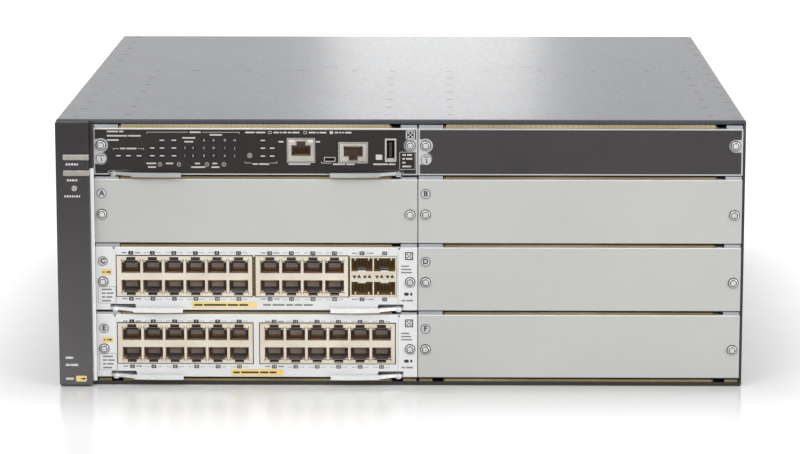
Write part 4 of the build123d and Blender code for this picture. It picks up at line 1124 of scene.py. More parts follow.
@dataclass
class JackBank(Assembly):
    """A block of stacked jacks with its numbers and brackets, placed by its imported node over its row."""

    node: str
    rider: str
    columns: int
    first_number: int
    row: Slot
    number_rises: Span
    first_port: float = 3.0
    pitch: float = 14.0
    opening: float = 12.4
    room_rises: Span = (24.7, 12.8)
    square: Span = (3.2, 2.4)
    bracket_reach: float = 5.0
    block_rises: Span = (9.3, 35.9)
    # Width of the dark line round the block, a painted shadow of the gap round it.
    rim: float = 0.6
    insert: JackInsert = JackInsert()

    def middles(self) -> list[float]:
        """The middles of the columns in X."""
        left = corners(self.node)[0].x + self.first_port + self.opening / 2
        return [left + i * self.pitch for i in range(self.columns)]

    def build(self) -> None:
        """Fits an insert in each jack, frames the block with a painted shadow line and prints the numbers."""
        low, high = corners(self.node)
        rows = tuple(zip((Latch.UP, Latch.DOWN), self.room_rises))
        for name, make, finish, slot in (
            ("rooms", self.insert.room, GLOWING_PORT_PLASTIC, ""), ("ledges", self.insert.ledge, GLOWING_LEDGE_PLASTIC, ""),
            ("contacts", self.insert.contacts, CONTACT_GOLD, "contact_strip"),
            ("tongues", self.insert.tongue, TONGUE_STEEL, "jack_shield"),
            ("light_windows", self.insert.windows, LIGHT_PIPE, ""), ("window_hooks", self.insert.hooks, GAP_GOLD_SHADED, ""),
        ):
            parts = []
            for latch, rise in rows:
                parts += copies(make(latch), [(x, low.y, self.row.bottom + rise) for x in self.middles()])
            self.keep(f"{self.node}_{name}", parts, finish, slot)
        face, line = Face(0.0, self.row.bottom, self.row.y), self.rim
        bottom, top = self.block_rises
        # The frame is painted shadow of the gap round the block.
        rim = face.outline(low.x - line, high.x + line, bottom - line, top + line, line, 0.2)
        self.keep(f"{self.node}_rim", [rim], BLOCK_GAP_SHADE)
        self.print_numbers(face)

    def print_numbers(self, face: Face) -> None:
        """Numbers in dark squares over and under the jacks, each between its bracket lines.

        Args:
            face: The face that carries the print.
        """
        squares, tabs, figures, lines = [], [], [], []
        half_w, half_h = self.square[0] / 2, self.square[1] / 2
        for index, x in enumerate(self.middles()):
            for under, (z, side, pads) in enumerate(zip(self.number_rises, (1, -1), (squares, tabs))):
                pads.append(face.pad(x - half_w, x + half_w, z - half_h, z + half_h, 0.4))
                number = str(self.first_number + 2 * index + under)
                figures.append(face.lifted(PRINT).figure(number, x, z, 1.5, 0.03))
                if index == 0:
                    lines += face.bars(x - 5.9, z + 0.1, (3.3,), 0.7) + face.bars(x + 2.4, z + 0.1, (3.9,), 0.7)
                else:
                    ends = (x - self.bracket_reach, x + self.bracket_reach)
                    gap = (x - half_w - 0.5, x + half_w + 0.5)
                    lines += face.bracket(ends, z + 0.3 * side, -0.75 * side, gap, 0.24)
        for name, parts, finish in (("number_squares", squares, INK_DARK), ("number_tabs", tabs, INK_TAB),
                                    ("numbers", figures, INK_WHITE), ("brackets", lines, INK_GREY)):
            self.keep(f"{self.node}_{name}", parts, finish)


@dataclass
class TransceiverFront(Assembly):
    """The front of the four transceiver cages: strip with arrows, spring tabs and numbers."""

    rider: ClassVar[str] = "line_card_c"
    row: Slot
    node: str = "card_c_sfp_cage"
    wall: float = 0.8
    cavity_width: float = 13.9
    cavity_height: float = 8.8
    cavity_rises: Span = (10.35, 26.05)
    cavity_depth: float = 36.0
    strip_height: float = 6.9
    arrow_places: tuple[tuple[float, int], ...] = ((-4.9, 180), (-1.9, 0), (1.9, 180), (4.9, 0))
    first_number: int = 21
    number_rises: Span = (37.9, 7.4)

    def build(self) -> None:
        """Makes the strip, the tabs, the inner springs, the cage ribs and the numbers."""
        low, high = corners(self.node)
        y, middle = low.y, (low.z + high.z) / 2
        half = self.strip_height / 2
        strips, arrows, tabs, springs, posts, rooms = [], [], [], [], [], []
        for x0, x1 in self.columns(low.x):
            for rise in self.cavity_rises:
                z0 = self.row.bottom + rise
                rooms.append(self.liner(x0 + 0.05, x1 - 0.05, z0 + 0.05, z0 + self.cavity_height - 0.05, y))
            plate = block((x0 + 0.3, y - 0.25, middle - 2.3), (x1 - 0.3, y + 0.8, middle + 2.3))
            strips.append(inset(round_edges(plate, Axis.Y, 0.5), FRONT, 0.4, 0.12))
            for place, degrees in self.arrow_places:
                arrow = wedge(-0.12, 0.3, 1.5, degrees, ((x0 + x1) / 2 + place, y - 0.13, middle))
                arrows.append(inset(arrow, FRONT, 0.2, 0.05))
            for sign in (-1, 1):
                z = middle + sign * (half + 0.25)
                tabs.append(soften(block((x0 + 4.5, y - 0.35, z - 0.35), (x1 - 4.5, y + 1.6, z + 0.35)), 0.15))
                z = middle + sign * (half + 1.5)
                lip = block((x0 + 4.0, y + 1.4, z - 0.12), (x1 - 4.0, y + 2.2, z + 0.12))
                springs.append(push(lip, REAR, (0, 8.0, sign * 1.1)))
                far = middle + sign * (half + self.cavity_height - 0.9)
                for x in (x0 + 2.6, x1 - 2.6):
                    post = block((x - 0.45, y + 0.9, far - 0.8), (x + 0.45, y + 4.5, far + 0.8))
                    posts.append(soften(post, 0.18))
        for name, parts, finish, slot in (
            ("strip", strips, STRIP_CREAM, ""), ("arrows", arrows, INK_DARK, ""), ("tabs", tabs, LEVER, "jack_shield"),
            ("springs", springs, TONGUE_STEEL, "jack_shield"), ("posts", posts, STRIP_CREAM, "contact_strip"),
            ("rooms", rooms, GLOWING_CAGE_GOLD, "jack_shield"),
        ):
            self.keep(f"card_c_cage_{name}", parts, finish, slot)
        self.print_numbers(low.x)

    def columns(self, left: float) -> list[Span]:
        """The left and right ends of the two columns of cages."""
        starts = [left + self.wall + i * (self.cavity_width + self.wall) for i in range(2)]
        return [(x, x + self.cavity_width) for x in starts]

    def liner(self, x0: float, x1: float, z0: float, z1: float, front: float) -> Piece:
        """The inner sheet of one cage, with ribs on its floor; its finish glows, painted light inside the cage.

        Args:
            x0: Left end.
            x1: Right end.
            z0: Bottom.
            z1: Top.
            front: Where the cage starts.

        Returns:
            The piece.
        """
        shell = hollow(block((x0, front + 0.9, z0), (x1, front + self.cavity_depth, z1)), FRONT, 0.2)
        rib = soften(block((x0 + 0.8, front + 14.0, z0 + 0.15), (x0 + 1.3, front + 15.5, z1 - 0.15)), 0.1, 1)
        step = (x1 - x0 - 2.1) / 5
        return join([shell, *copies(rib, [(i * step, 0, 0) for i in range(6)])])

    def print_numbers(self, left: float) -> None:
        """The cages' numbers over and under them, with the marks beside the first pair.

        Args:
            left: The cages' left side.
        """
        face = Face(0.0, self.row.bottom, self.row.y)
        squares, figures, lines = [], [], []
        for column, (x0, x1) in enumerate(self.columns(left)):
            x = x0 + self.cavity_width / 2
            for under, z in enumerate(self.number_rises):
                squares.append(face.pad(x - 1.6, x + 1.6, z - 1.2, z + 1.2, 0.4))
                number = str(self.first_number + 2 * column + under)
                figures.append(face.lifted(PRINT).figure(number, x, z, 1.5, 0.03))
                if column == 0:
                    for start, length, ring in ((-6.6, 2.6, -3.6), (4.2, 3.4, 2.4)):
                        lines += face.bars(x + start, z, (length,), 0.7)
                        lines.append(face.outline(x + ring, x + ring + 1.2, z - 0.6, z + 0.6, 0.22, 0.5))
        self.keep("card_c_cage_number_squares", squares, INK_DARK)
        self.keep("card_c_cage_numbers", figures, INK_WHITE)
        self.keep("card_c_cage_words", lines, INK_GREY)


# Card faces


@dataclass
class CardFace(Assembly):
    """What is printed, stuck and pressed on a line card's face."""

    name: str
    rider: str
    slot: Slot
    band_x: Span
    band_z: Span
    badge_z: Span
    caption_x: float = 0.0
    gaps: tuple[Span, ...] = ()
    ear_lines: Span = (13.2, 196.5)
    slit_z: Span = (3.15, 4.0)
    slit_x: tuple[Span, ...] = ((9.2, 25.6), (183.6, 200.0))
    band_words: tuple[float, ...] = (3.2, 8.6, 4.0, 3.4)
    spring_count: int = 9
    spring_rise: float = 9.5
    spring_room: float = 26.0

    def build(self) -> None:
        """Prints the labels, lays painted shade in the lever slits and in the ear grooves, and fits the springs between
        the blocks.
        """
        face, label = self.slot, self.slot.lifted(PRINT)
        (a, b), band_middle, badge_middle = self.band_x, sum(self.band_z) / 2, sum(self.badge_z) / 2
        yellow = [face.pad(3.4, 10.7, *self.badge_z, 0.9), face.pad(a, b, *self.band_z, 1.4)]
        share = (b - a - 5.6) / 21.6
        dark = label.arrow(7.6, badge_middle) + label.bars(4.3, badge_middle, (1.5,), 0.8)
        dark += label.bars(a + 1.6, band_middle, [share * w for w in self.band_words], 1.2, 0.8)
        dark += face.code(201.0, 33.5, 5.2) + face.bars(200.4, 10.9, (3.0, 1.3), 2.0, 1.0)
        grey = [face.outline(1.3, 12.9, 4.4, 15.6, 0.2, 0.2)]
        for i, lengths in enumerate(((6.6,), (2.6, 4.6), (2.2, 4.2), (6.0,))):
            grey += face.bars(3.6, 13.6 - i * 2.5, lengths, 1.0)
        for i, length in enumerate((5.4, 6.6, 7.2)):
            grey += face.bars(198.4, 29.4 - i * 2.1, (length,), 0.9)
        grey += face.bars(198.8, 6.6, (2.4, 4.4), 1.0)
        if self.caption_x:
            grey += face.bars(self.caption_x, 3.6, (5.2, 8.0, 4.6, 5.0, 6.0), 1.2, 0.9)
        # Thin grey lines on the ears: painted shade of their grooves.
        grooves = [face.pad(x - 0.13, x + 0.13, 4.2, 39.0, 0.05, 0.02) for x in self.ear_lines]
        # The slits are thin dark pads: painted shade where the levers' slots are.
        slits = [face.pad(*ends, *self.slit_z, 0.3, 0.02) for ends in self.slit_x]
        for name, parts, finish in (("dark_print", dark, INK_DARK), ("grey_print", grey, INK_GREY),
                                    ("yellow_labels", yellow, LABEL_YELLOW), ("ear_lines", grooves, GROOVE_SHADE_GREY),
                                    ("lever_slit_shade", slits, SLIT_SHADE)):
            self.keep(f"{self.name}_{name}", parts, finish)
        if self.gaps:
            self.fit_springs()

    def fit_springs(self) -> None:
        """Rows of small springs in the gaps between two blocks of jacks, darkened with painted shade."""
        slot, parts, step = self.slot, [], self.spring_room / self.spring_count
        base = slot.bottom + self.spring_rise
        for x0, x1 in self.gaps:
            leaf = block((slot.left + x0, slot.y - 0.12, base), (slot.left + x1, slot.y + SUNK, base + step - 0.15))
            inset(round_edges(leaf, Axis.Y, 0.15), FRONT, 0.2, 0.05)
            parts += copies(leaf, [(0, 0, i * step) for i in range(self.spring_count)])
        self.keep(f"{self.name}_gap_springs", parts, GAP_GOLD_SHADED, "contact_strip")


@dataclass
class SlotBadges(Assembly):
    """Round plates with the slots' letters, each in the recess pressed for it, and the numbered plates."""

    rider: ClassVar[str] = "chassis"
    radius: float = 3.15
    number_radius: float = 3.6
    sheet: float = 0.5
    recess: float = 0.3
    dish: float = 0.16
    inset_x: float = 4.7
    rise: float = 32.4
    rim: float = 0.32

    def badge(self, key: str, kind: str, face: Face, x: float, z: float, radius: float,
              marks: Callable[[Face], list[Piece]], body: str) -> None:
        """Makes one plate with a raised rim, its print and the dark line round it.

        Args:
            key: The letter or number, for the pieces' names.
            kind: What the print is, for its name.
            face: The floor on which the plate's back lies.
            x: The plate's middle.
            z: The plate's middle.
            radius: Its radius.
            marks: Makes the print on the dished front.
            body: The body that carries it.
        """
        disc = rod(Axis.Y, (face.left + x, face.y - self.sheet, face.bottom + z), self.sheet, radius, 40)
        inset(disc, FRONT, 0.22)
        inset(disc, FRONT, 0.12, self.dish)
        front = face.lifted(self.sheet)
        self.keep(f"badge_{key}", [soften(disc, 0.05, 1, 60)], BADGE_SILVER, body=body)
        self.keep(f"badge_{kind}_{key}", marks(front.lifted(-self.dish)), INK_DARK, body=body)
        self.keep(f"badge_rim_{key}", [front.ring(x, z, radius - 0.03, radius - self.rim)], BADGE_RING_AND_SCREW_SHADE, body=body)

    def build(self, places: dict[str, tuple[Slot, str]]) -> None:
        """Makes the plates and letters.

        Args:
            places: Each letter's slot and the body that carries it.
        """
        x, z = self.inset_x, self.rise
        for letter, (slot, body) in places.items():
            self.badge(letter.lower(), "letter", slot.lifted(-self.recess), x, z, self.radius,
                       lambda front: [front.figure(letter, x, z, 3.4, 0.05, 0.045)], body)

    def build_numbers(self, places: dict[str, tuple[Slot, str, float, float]]) -> None:
        """Makes the larger numbered plates of the top row.

        Args:
            places: Each number's slot, its body, and the plate's middle in the slot.
        """
        for number, (slot, body, x, z) in places.items():
            self.badge(number, "number", slot, x, z, self.number_radius,
                       lambda front: [front.figure(number, x, z - 1.0, 2.3, 0.05, 0.05),
                                      *front.bars(x - 1.6, z + 1.75, (3.2,), 0.6)], body)


@dataclass
class ScrewShadeRings(Assembly):
    """Painted shade at the captive screws: a dark ring in the gap round each head and one in the groove of its front.
    """

    rider: ClassVar[str] = "chassis"
    head_radius: float = 3.0
    head_height: float = 1.8
    gap: float = 0.5
    groove: Span = (2.35, 1.75)
    insets: Span = (4.7, 204.3)

    def build(self, key: str, slot: Slot, rise: float, film: float, bodies: Sequence[str], rider: str) -> None:
        """Makes the rings of one face.

        Args:
            key: The slot's letter, for the pieces' names.
            slot: The face's place.
            rise: The screws' height above the face's bottom.
            film: Thickness of the film on the face.
            bodies: The bodies of the left and the right screw.
            rider: The body of the face.
        """
        gaps = []
        for side, x, body in zip(("left", "right"), self.insets, bodies):
            gaps.append(slot.lifted(film).ring(x, rise, self.head_radius + self.gap, self.head_radius + 0.02))
            groove = slot.lifted(self.head_height).ring(x, rise, *self.groove)
            self.keep(f"screw_groove_{key}_{side}", [groove], BADGE_RING_AND_SCREW_SHADE, body=body)
        self.keep(f"screw_gaps_{key}", gaps, BADGE_RING_AND_SCREW_SHADE, body=rider)


@dataclass
class RowEars(Assembly):
    """Sheet ends that show in the slits over and under the faces, beside the contact strips."""

    rider: ClassVar[str] = "chassis"
    ends: tuple[Span, ...] = ((0.3, 15.9), (198.2, 208.7))
    start: float = 0.5
    depth: float = 7.5
    hem_gap: float = 0.6
    hem_start: float = 0.9
    hem_size: Point = (8.6, 2.1, 1.7)

    def build(self, key: str, slot: Slot, height: float, rider: str) -> None:
        """Makes the two ends over one face.

        Args:
            key: The slot's letter, for the piece's name.
            slot: The face's place.
            height: How high the ends stand over the face.
            rider: The body that carries them.
        """
        parts, top, y0 = [], slot.top, slot.y + self.start
        for x0, x1 in self.ends:
            end = block((slot.left + x0, y0, top - SUNK), (slot.left + x1, y0 + self.depth, top + height))
            round_edges(end, Axis.X, 0.5, 3, lambda middle: middle.y < y0 + 0.1 and middle.z > top)
            parts.append(inset(end, UP, 0.6, 0.15))
        self.keep(f"row_ears_{key}", parts, EAR_STEEL, body=rider)

    def build_hem(self, columns: Sequence[Slot], base_z: float) -> None:
        """Makes the ends of the lowest slit, clear of the levers' swing.

        Args:
            columns: The lowest slot of each column.
            base_z: Where the ends stand.
        """
        parts, (length, depth, height) = [], self.hem_size
        for slot in columns:
            for inset_x in (self.hem_gap, slot.width - self.hem_gap - length):
                x, y = slot.left + inset_x, slot.y + self.hem_start
                parts.append(block((x, y, base_z), (x + length, y + depth, base_z + height)))
        self.keep("hem_ends", parts, GOLD_FINGER_SHADED)


# Management module


@dataclass
class ManagementFace(Assembly):
    """Everything on the management module's dark film: lamps, print, jacks' insides and labels."""

    rider: ClassVar[str] = "management_module"
    slot: Slot
    film: float = 0.5
    lamp: Span = (4.0, 3.5)
    jack_bottom: float = 8.3

    LAMPS: ClassVar[tuple[tuple[float, tuple[float, ...], str], ...]] = (
        (12.6, (16.0, 22.5, 29.3), "---"), (22.7, (44.2, 51.9), "--"),
        (17.7, (37.9, 44.2, 51.9), "---"), (12.6, (37.9, 44.2, 51.9), "---"),
        (17.7, (59.0, 64.2), "34"), (12.6, (59.0, 64.2), "12"),
        (22.7, (71.3, 77.6, 84.8, 91.2), "ABGH"), (17.7, (71.3, 77.6, 84.8, 91.2), "CDIJ"),
        (12.6, (71.3, 77.6, 84.8, 91.2), "EFKL"),
        (22.7, (109.3,), "-"), (17.7, (109.3, 115.3), "--"), (12.5, (109.3, 115.3), "--"),
    )
    BRACKETS: ClassVar[tuple[tuple[Span, float, float, Span], ...]] = (
        ((34.8, 94.0), 28.0, -0.9, (61.0, 70.5)), ((13.0, 32.2), 17.3, -0.9, (16.4, 28.6)),
        ((97.9, 118.1), 8.0, 0.9, (101.8, 114.0)), ((147.2, 176.0), 8.0, 0.9, (153.6, 169.8)),
    )
    WORDS: ClassVar[tuple[tuple[float, float, tuple[float, ...]], ...]] = (
        (8.7, 28.4, (7.4, 2.8)), (8.7, 25.6, (13.2, 8.2)), (8.7, 22.8, (7.6,)),
        (62.0, 28.0, (7.4,)), (75.0, 26.3, (8.0,)), (57.4, 24.3, (8.4,)), (58.6, 21.8, (5.8,)),
        (17.2, 17.3, (3.4, 6.6)), (34.0, 7.6, (6.4,)), (35.0, 5.2, (5.2,)), (46.6, 7.6, (4.8,)),
        (65.4, 7.6, (3.2,)), (62.8, 5.2, (9.2,)), (76.6, 7.6, (3.2,)), (76.0, 5.2, (5.2,)),
        (98.0, 27.9, (6.2, 6.2)), (116.2, 27.9, (3.6, 1.2, 2.6, 2.4, 4.6)), (138.9, 27.9, (4.6, 1.2, 4.4)),
        (155.7, 27.9, (2.4, 1.2, 1.2, 4.2)), (119.4, 21.9, (3.3,)), (143.4, 21.9, (2.8,)),
        (102.6, 7.3, (3.4, 6.8)), (125.8, 7.3, (14.0,)), (154.4, 7.3, (8.0, 5.6)), (180.4, 7.3, (9.4, 4.4)),
    )

    def build(self) -> None:
        """Makes the lamps, the print, the labels and the jacks' insides."""
        face = self.slot.lifted(self.film)
        self.make_lamps(face)
        self.print_lines(face)
        self.make_labels(face)
        self.fit_jacks()
        self.fit_tall_socket()

    def make_lamps(self, face: Face) -> None:
        """Dark windows with a figure or, where the table has a dash, a bar in each.

        Args:
            face: The face that carries the print.
        """
        panes, marks, print_face = [], [], face.lifted(PRINT)
        half_w, half_h = self.lamp[0] / 2, self.lamp[1] / 2
        for z, columns, texts in self.LAMPS:
            for x, text in zip(columns, texts):
                panes.append(face.pad(x - half_w, x + half_w, z - half_h, z + half_h, 0.35))
                if text == "-":
                    marks += print_face.bars(x - 1.5, z, (3.0,), 0.85)
                else:
                    marks.append(print_face.figure(text, x, z, 1.5, 0.03))
        self.keep("mgmt_lamp_windows", panes, WINDOW_DARK)
        self.keep("mgmt_lamp_marks", marks, INK_FILM)

    def print_lines(self, face: Face) -> None:
        """The brackets, the legend, the rings at the pinholes and the bars that stand for words.

        Args:
            face: The face that carries the print.
        """
        lines = []
        for ends, z, tick, gap in self.BRACKETS:
            lines += face.bracket(ends, z, tick, gap, 0.3)
        for x, z, lengths in self.WORDS:
            lines += face.bars(x, z, lengths, 1.0)
        lines += [face.outline(x - 1.1, x + 1.1, 27.0, 28.8) for x in (113.9, 136.6)]
        lines.append(face.pad(152.4, 154.6, 27.0, 28.8, 0.3))
        lines += [face.ring(x, 7.0, 1.35, 1.05) for x in (42.8, 55.0, 73.1, 84.1)]
        self.keep("mgmt_print", lines, INK_FILM)

    def make_labels(self, face: Face) -> None:
        """The white window, the square of plain cells and the framed label at the right end.

        Args:
            face: The face that carries the print.
        """
        white = [face.pad(182.1, 186.3, 10.2, 13.6, 0.3), *face.code(201.5, 23.6, 5.8),
                 face.outline(197.4, 207.6, 3.9, 15.4, 0.25)]
        for i, lengths in enumerate(((2.4, 3.4), (1.8, 4.2), (2.0,), (5.8,))):
            white += face.bars(199.2, 13.4 - i * 2.5, lengths, 1.0)
        self.keep("mgmt_labels", white, INK_WHITE)

    def fit_jacks(self) -> None:
        """The insides and lenses of the two jacks, and the painted shade in the gap round each."""
        bottom = self.slot.bottom + self.jack_bottom
        rooms, contacts, rims = [], [], []
        insert = JackInsert(width=12.5, height=6.9, notch_height=2.6, step_height=0.0, step_width=6.0)
        jacks = (("mgmt_network_jack", Latch.UP, 4.5, 16.1), ("mgmt_console_jack", Latch.DOWN, 3.9, 13.5))
        for node, latch, rise, _ in jacks:
            low, high = corners(node)
            shift = [((low.x + high.x) / 2, low.y, bottom + rise)]
            rooms += copies(insert.room(latch), shift)
            contacts += copies(insert.contacts(latch), shift)
        low, high = corners("mgmt_network_jack")
        lens = block((low.x + 1.2, low.y - 0.12, bottom + 13.3), (low.x + 4.8, low.y + 0.6, bottom + 15.0))
        inset(round_edges(lens, Axis.Y, 0.4), FRONT, 0.3, 0.05)
        lenses = copies(lens, [(0, 0, 0), (high.x - low.x - 6.0, 0, 0)])
        # Dark outlines round the jacks: painted shade in the gap between each jack and the film.
        for node, _, _, height in jacks:
            low, high = corners(node)
            rims.append(Face(0.0, bottom, low.y).outline(low.x + 0.5, high.x - 0.5, 0.5, height - 0.5, 0.3, 0.3))
        self.keep("mgmt_jack_rooms", rooms, GLOWING_PORT_PLASTIC)
        self.keep("mgmt_jack_contacts", contacts, CONTACT_GOLD, "contact_strip")
        self.keep("mgmt_jack_lenses", lenses, LIGHT_PIPE)
        self.keep("mgmt_jack_gap_shade", rims, SLIT_SHADE)

    def fit_tall_socket(self) -> None:
        """Four contacts on the tongue of the tall socket and a pale sill under it."""
        bottom, x, y = self.slot.bottom, self.slot.left + 191.7, self.slot.y - self.film - 0.2
        pin = soften(block((x - 1.15, y + 2.2, 0), (x - 0.9, y + 12.0, 1.2)), 0.08, 1)
        pins = copies(pin, [(0, 0, bottom + 12.2 + i * 2.4) for i in range(4)])
        self.keep("mgmt_tall_socket_contacts", pins, CONTACT_GOLD, "contact_strip")
        sill = block((x - 2.4, y + 0.5, bottom + 10.1), (x + 2.4, y + 6.0, bottom + 10.9))
        self.keep("mgmt_tall_socket_sill", [soften(sill, 0.2)], BOARD_WHITE)


# Chassis pieces


@dataclass
class ContactFingers(Assembly):
    """Springy fingers over the plain contact strips between the rows."""

    rider: ClassVar[str] = "chassis"
    pitch: float = 3.4
    finger: float = 3.22
    proud: float = 0.12
    strip_inset: float = 16.6
    strip_start: float = 0.9
    strip_height: float = 1.7
    strip_depth: float = 7.5
    finish: Finish = GOLD_FINGER_SHADED

    def build(self, name: str, slot: Slot, base_z: float, rider: str, depth: float = 0.0) -> None:
        """Lays fingers along one strip.

        Args:
            name: The piece's name.
            slot: The slot whose column the strip spans.
            base_z: Where the strip stands.
            rider: The body that carries it.
            depth: The strip's depth, if it isn't the usual one.
        """
        length = slot.width - 2 * self.strip_inset
        count = int(length // self.pitch)
        x0 = slot.left + self.strip_inset + (length - (count - 1) * self.pitch - self.finger) / 2
        y0, top = slot.y + self.strip_start, base_z + self.strip_height + self.proud
        leaf = block((x0, y0 - self.proud, base_z + 0.15),
                     (x0 + self.finger, y0 + (depth or self.strip_depth) - 0.2, top))
        round_edges(leaf, Axis.X, 0.8, 3,
                    lambda middle: middle.y < y0 - self.proud + 0.1 and middle.z > top - 0.1)
        parts = copies(leaf, [(i * self.pitch, 0, 0) for i in range(count)])
        self.keep(name, parts, self.finish, "contact_strip", rider)


@dataclass
class CoverMarks(Assembly):
    """Painted shade in the short dashes pressed in the cover: a dark filling in each, measured from its left front
    corner.
    """

    rider: ClassVar[str] = "chassis"
    length: float = 4.0
    width: float = 0.9
    depth: float = 0.4
    below: float = 0.03
    columns: tuple[tuple[tuple[float, ...], float, float, int], ...] = (
        ((12.9, 439.0), 10.0, 35.6, 13), ((44.6, 213.6, 254.3, 422.9), 21.5, 35.8, 7))
    row_starts: Span = (71.6, 281.0)
    row_pitch: float = 38.4
    row_y: float = 239.7
    pairs: tuple[float, ...] = (166.0, 171.5, 307.2, 312.7)
    pair_y: float = 260.4

    def build(self) -> None:
        """Lays a dark filling, painted shade, in each dash."""
        low, high = corners("top_cover")
        places = [(x, start + i * pitch) for insets, start, pitch, count in self.columns for x in insets
                  for i in range(count)]
        places += [(x + i * self.row_pitch, self.row_y) for x in self.row_starts for i in range(4)]
        places += [(x, self.pair_y) for x in self.pairs]
        dash = centred(self.length / 2, -self.width / 2, self.width / 2,
                       high.z - self.depth - 0.02, high.z - self.below)
        parts = copies(round_edges(dash, Axis.Z, 0.3), [(low.x + x, low.y + y, 0) for x, y in places])
        self.keep("cover_mark_shade", parts, MARK_SHADE, "cover_paint")


@dataclass
class BezelPrint(Assembly):
    """Print on the bezel: bars in the place of words, the small yellow label, and beside it a glowing strip, painted
    light on the wall's front.
    """

    rider: ClassVar[str] = "chassis"
    words: tuple[tuple[float, float, tuple[float, ...]], ...] = (
        (6.6, 146.9, (1.5, 1.3, 1.5, 1.3, 1.0)), (7.3, 136.5, (1.3, 1.2, 1.2, 0.7, 0.8)),
        (5.4, 126.0, (1.1, 1.3, 1.2, 1.2, 0.8, 1.3, 1.0)), (4.2, 19.4, (5.0,)), (4.2, 14.6, (2.6, 5.2)),
        (4.2, 5.4, (5.2,)),
    )
    strip: tuple[float, float, float, float] = (21.7, 23.9, 2.6, 143.4)

    def build(self) -> None:
        """Prints the bars, sticks the label and lays a glowing strip, painted light, on the wall's front beside the
        bezel.
        """
        low, _ = corners("front_bezel")
        face = Face(low.x, 0.0, low.y)
        bars = []
        for x, z, lengths in self.words:
            bars += face.bars(x, z, lengths, 1.5, 0.4)
        self.keep("bezel_print", bars, INK_WHITE)
        wall = Face(low.x, 0.0, corners("cage_wall_left")[0].y)
        # A glowing strip: painted light that lifts the bezel's shade on the wall's front.
        self.keep("wall_glowing_strip", [wall.pad(*self.strip, 0.3, 0.1)], GLOWING_STRIP_WHITE)
        self.keep("bezel_label", [face.pad(10.8, 17.8, 3.5, 7.4, 0.8)], LABEL_YELLOW)
        self.keep("bezel_label_arrow", face.lifted(PRINT).arrow(15.0, 5.45), INK_DARK)


@dataclass
class RearDress(Assembly):
    """Labels, lamps and small fittings of the rear, which the photograph doesn't show."""

    rider: ClassVar[str] = "fan_tray"
    face_depth: float = 37.2
    line_pitch: float = 2.4

    @staticmethod
    def plate(x0: float, x1: float, z0: float, z1: float, y: float, corner: float = 0.5) -> Piece:
        """A thin plate with round corners on a face that looks to the rear."""
        return round_edges(block((x0, y - SUNK, z0), (x1, y + PRINT, z1)), Axis.Y, corner)

    def label(self, name: str, box: tuple[float, float, float, float], y: float, inset_x: float, drop: float,
              lengths: Sequence[float], body: str) -> None:
        """A white label with bars in the place of words.

        Args:
            name: The label's name.
            box: Its left, right, bottom and top.
            y: Where the face that carries it lies.
            inset_x: Room left of the bars.
            drop: Room from its top to the middle of the first bar.
            lengths: The bars' lengths.
            body: The body that carries it.
        """
        x0, z0 = box[0] + inset_x, box[3] - drop
        self.keep(name, [self.plate(*box, y)], BOARD_WHITE, body=body)
        heights = [z0 - i * self.line_pitch for i in range(len(lengths))]
        bars = [self.plate(x0, x0 + length, z - 0.5, z + 0.5, y + PRINT, 0.2) for z, length in zip(heights, lengths)]
        self.keep(f"{name}_bars", bars, INK_DARK, body=body)

    def build(self) -> None:
        """Makes the plates, lamps and catches of the supplies and of the fan tray."""
        tray, _ = corners("fan_tray")
        y = tray.y + self.face_depth
        for body in ("power_supply_upper", "power_supply_lower"):
            low, high = corners(body)
            left, bottom = low.x + 4.1, low.z + 3.5
            lamp = rod(Axis.Y, (left + 34.0, y - SUNK, bottom + 56.0), 0.9, 1.6)
            self.keep(f"{body}_lamp", [inset(lamp, REAR, 0.4, 0.15)], LAMP_GREEN, body=body)
            box = (left + 60.0, left + 104.0, bottom + 60.6, bottom + 66.4)
            self.label(f"{body}_plate", box, y, 2.0, 1.6, (30.0, 22.0), body)
            catch = block((high.x - 9.0, y - SUNK, bottom + 28.0), (high.x - 4.5, y + 6.0, bottom + 42.0))
            inset(soften(catch, 0.9, 3), RIGHT, 0.8, 0.4)
            self.keep(f"{body}_catch", [catch], BUTTON, "button_plastic", body)
        box = (tray.x + 8.0, tray.x + 52.0, tray.z + 5.0, tray.z + 14.0)
        self.label("fan_tray_plate", box, y, 3.0, 2.0, (34.0, 26.0, 30.0), "fan_tray")
        low, high = corners("fan_housings")
        discs = [rod(Axis.Y, (x, high.y - SUNK, (low.z + high.z) / 2), SUNK + 0.12, 15.0, 48)
                 for x in (low.x + 60.0, high.x - 60.0)]
        self.keep("fan_hub_labels", [inset(disc, REAR, 1.2, 0.05) for disc in discs], BADGE_SILVER)


@dataclass
class BoardParts(Assembly):
    """Capacitors, coils and small chips on a module's board, seen when the module is out."""

    module: str
    rider: str
    slot: Slot
    rise: float

    def build(self) -> None:
        """Makes each part once and copies it along the board."""
        left, front, top = self.slot.left, self.slot.y, self.slot.bottom + self.rise
        can = push(rod(Axis.Z, (0, 0, top), 9.5, 3.2), UP, (0, 0, 0.6))
        soften(inset(can, UP, 0.5, 0.3), 0.25)
        cans = copies(can, [(left + 150 + 9 * i, front + 210 + 9 * (i % 2), 0) for i in range(5)])
        coil = round_edges(block((0, 0, top), (9.0, 9.0, top + 5.0)), Axis.Z, 1.6, 3)
        coils = copies(inset(coil, UP, 1.0, 0.25), [(left + 24 + 13 * i, front + 215, 0) for i in range(4)])
        chip = soften(block((0, 0, top), (6.2, 5.0, top + 1.4)), 0.2, 1)
        legs = join(copies(block((0.4, -0.9, top), (0.75, 5.9, top + 0.35)), [(i * 1.1, 0, 0) for i in range(5)]))
        spots = [(left + 110 + 11 * i, front + 52 + 12 * j, 0) for i in range(6) for j in range(2)]
        self.keep(f"{self.module}_capacitors", cans, CAN_SILVER)
        self.keep(f"{self.module}_coils", coils + copies(chip, spots), SCREEN_BLACK)
        self.keep(f"{self.module}_chip_legs", copies(legs, spots), CAN_SILVER)


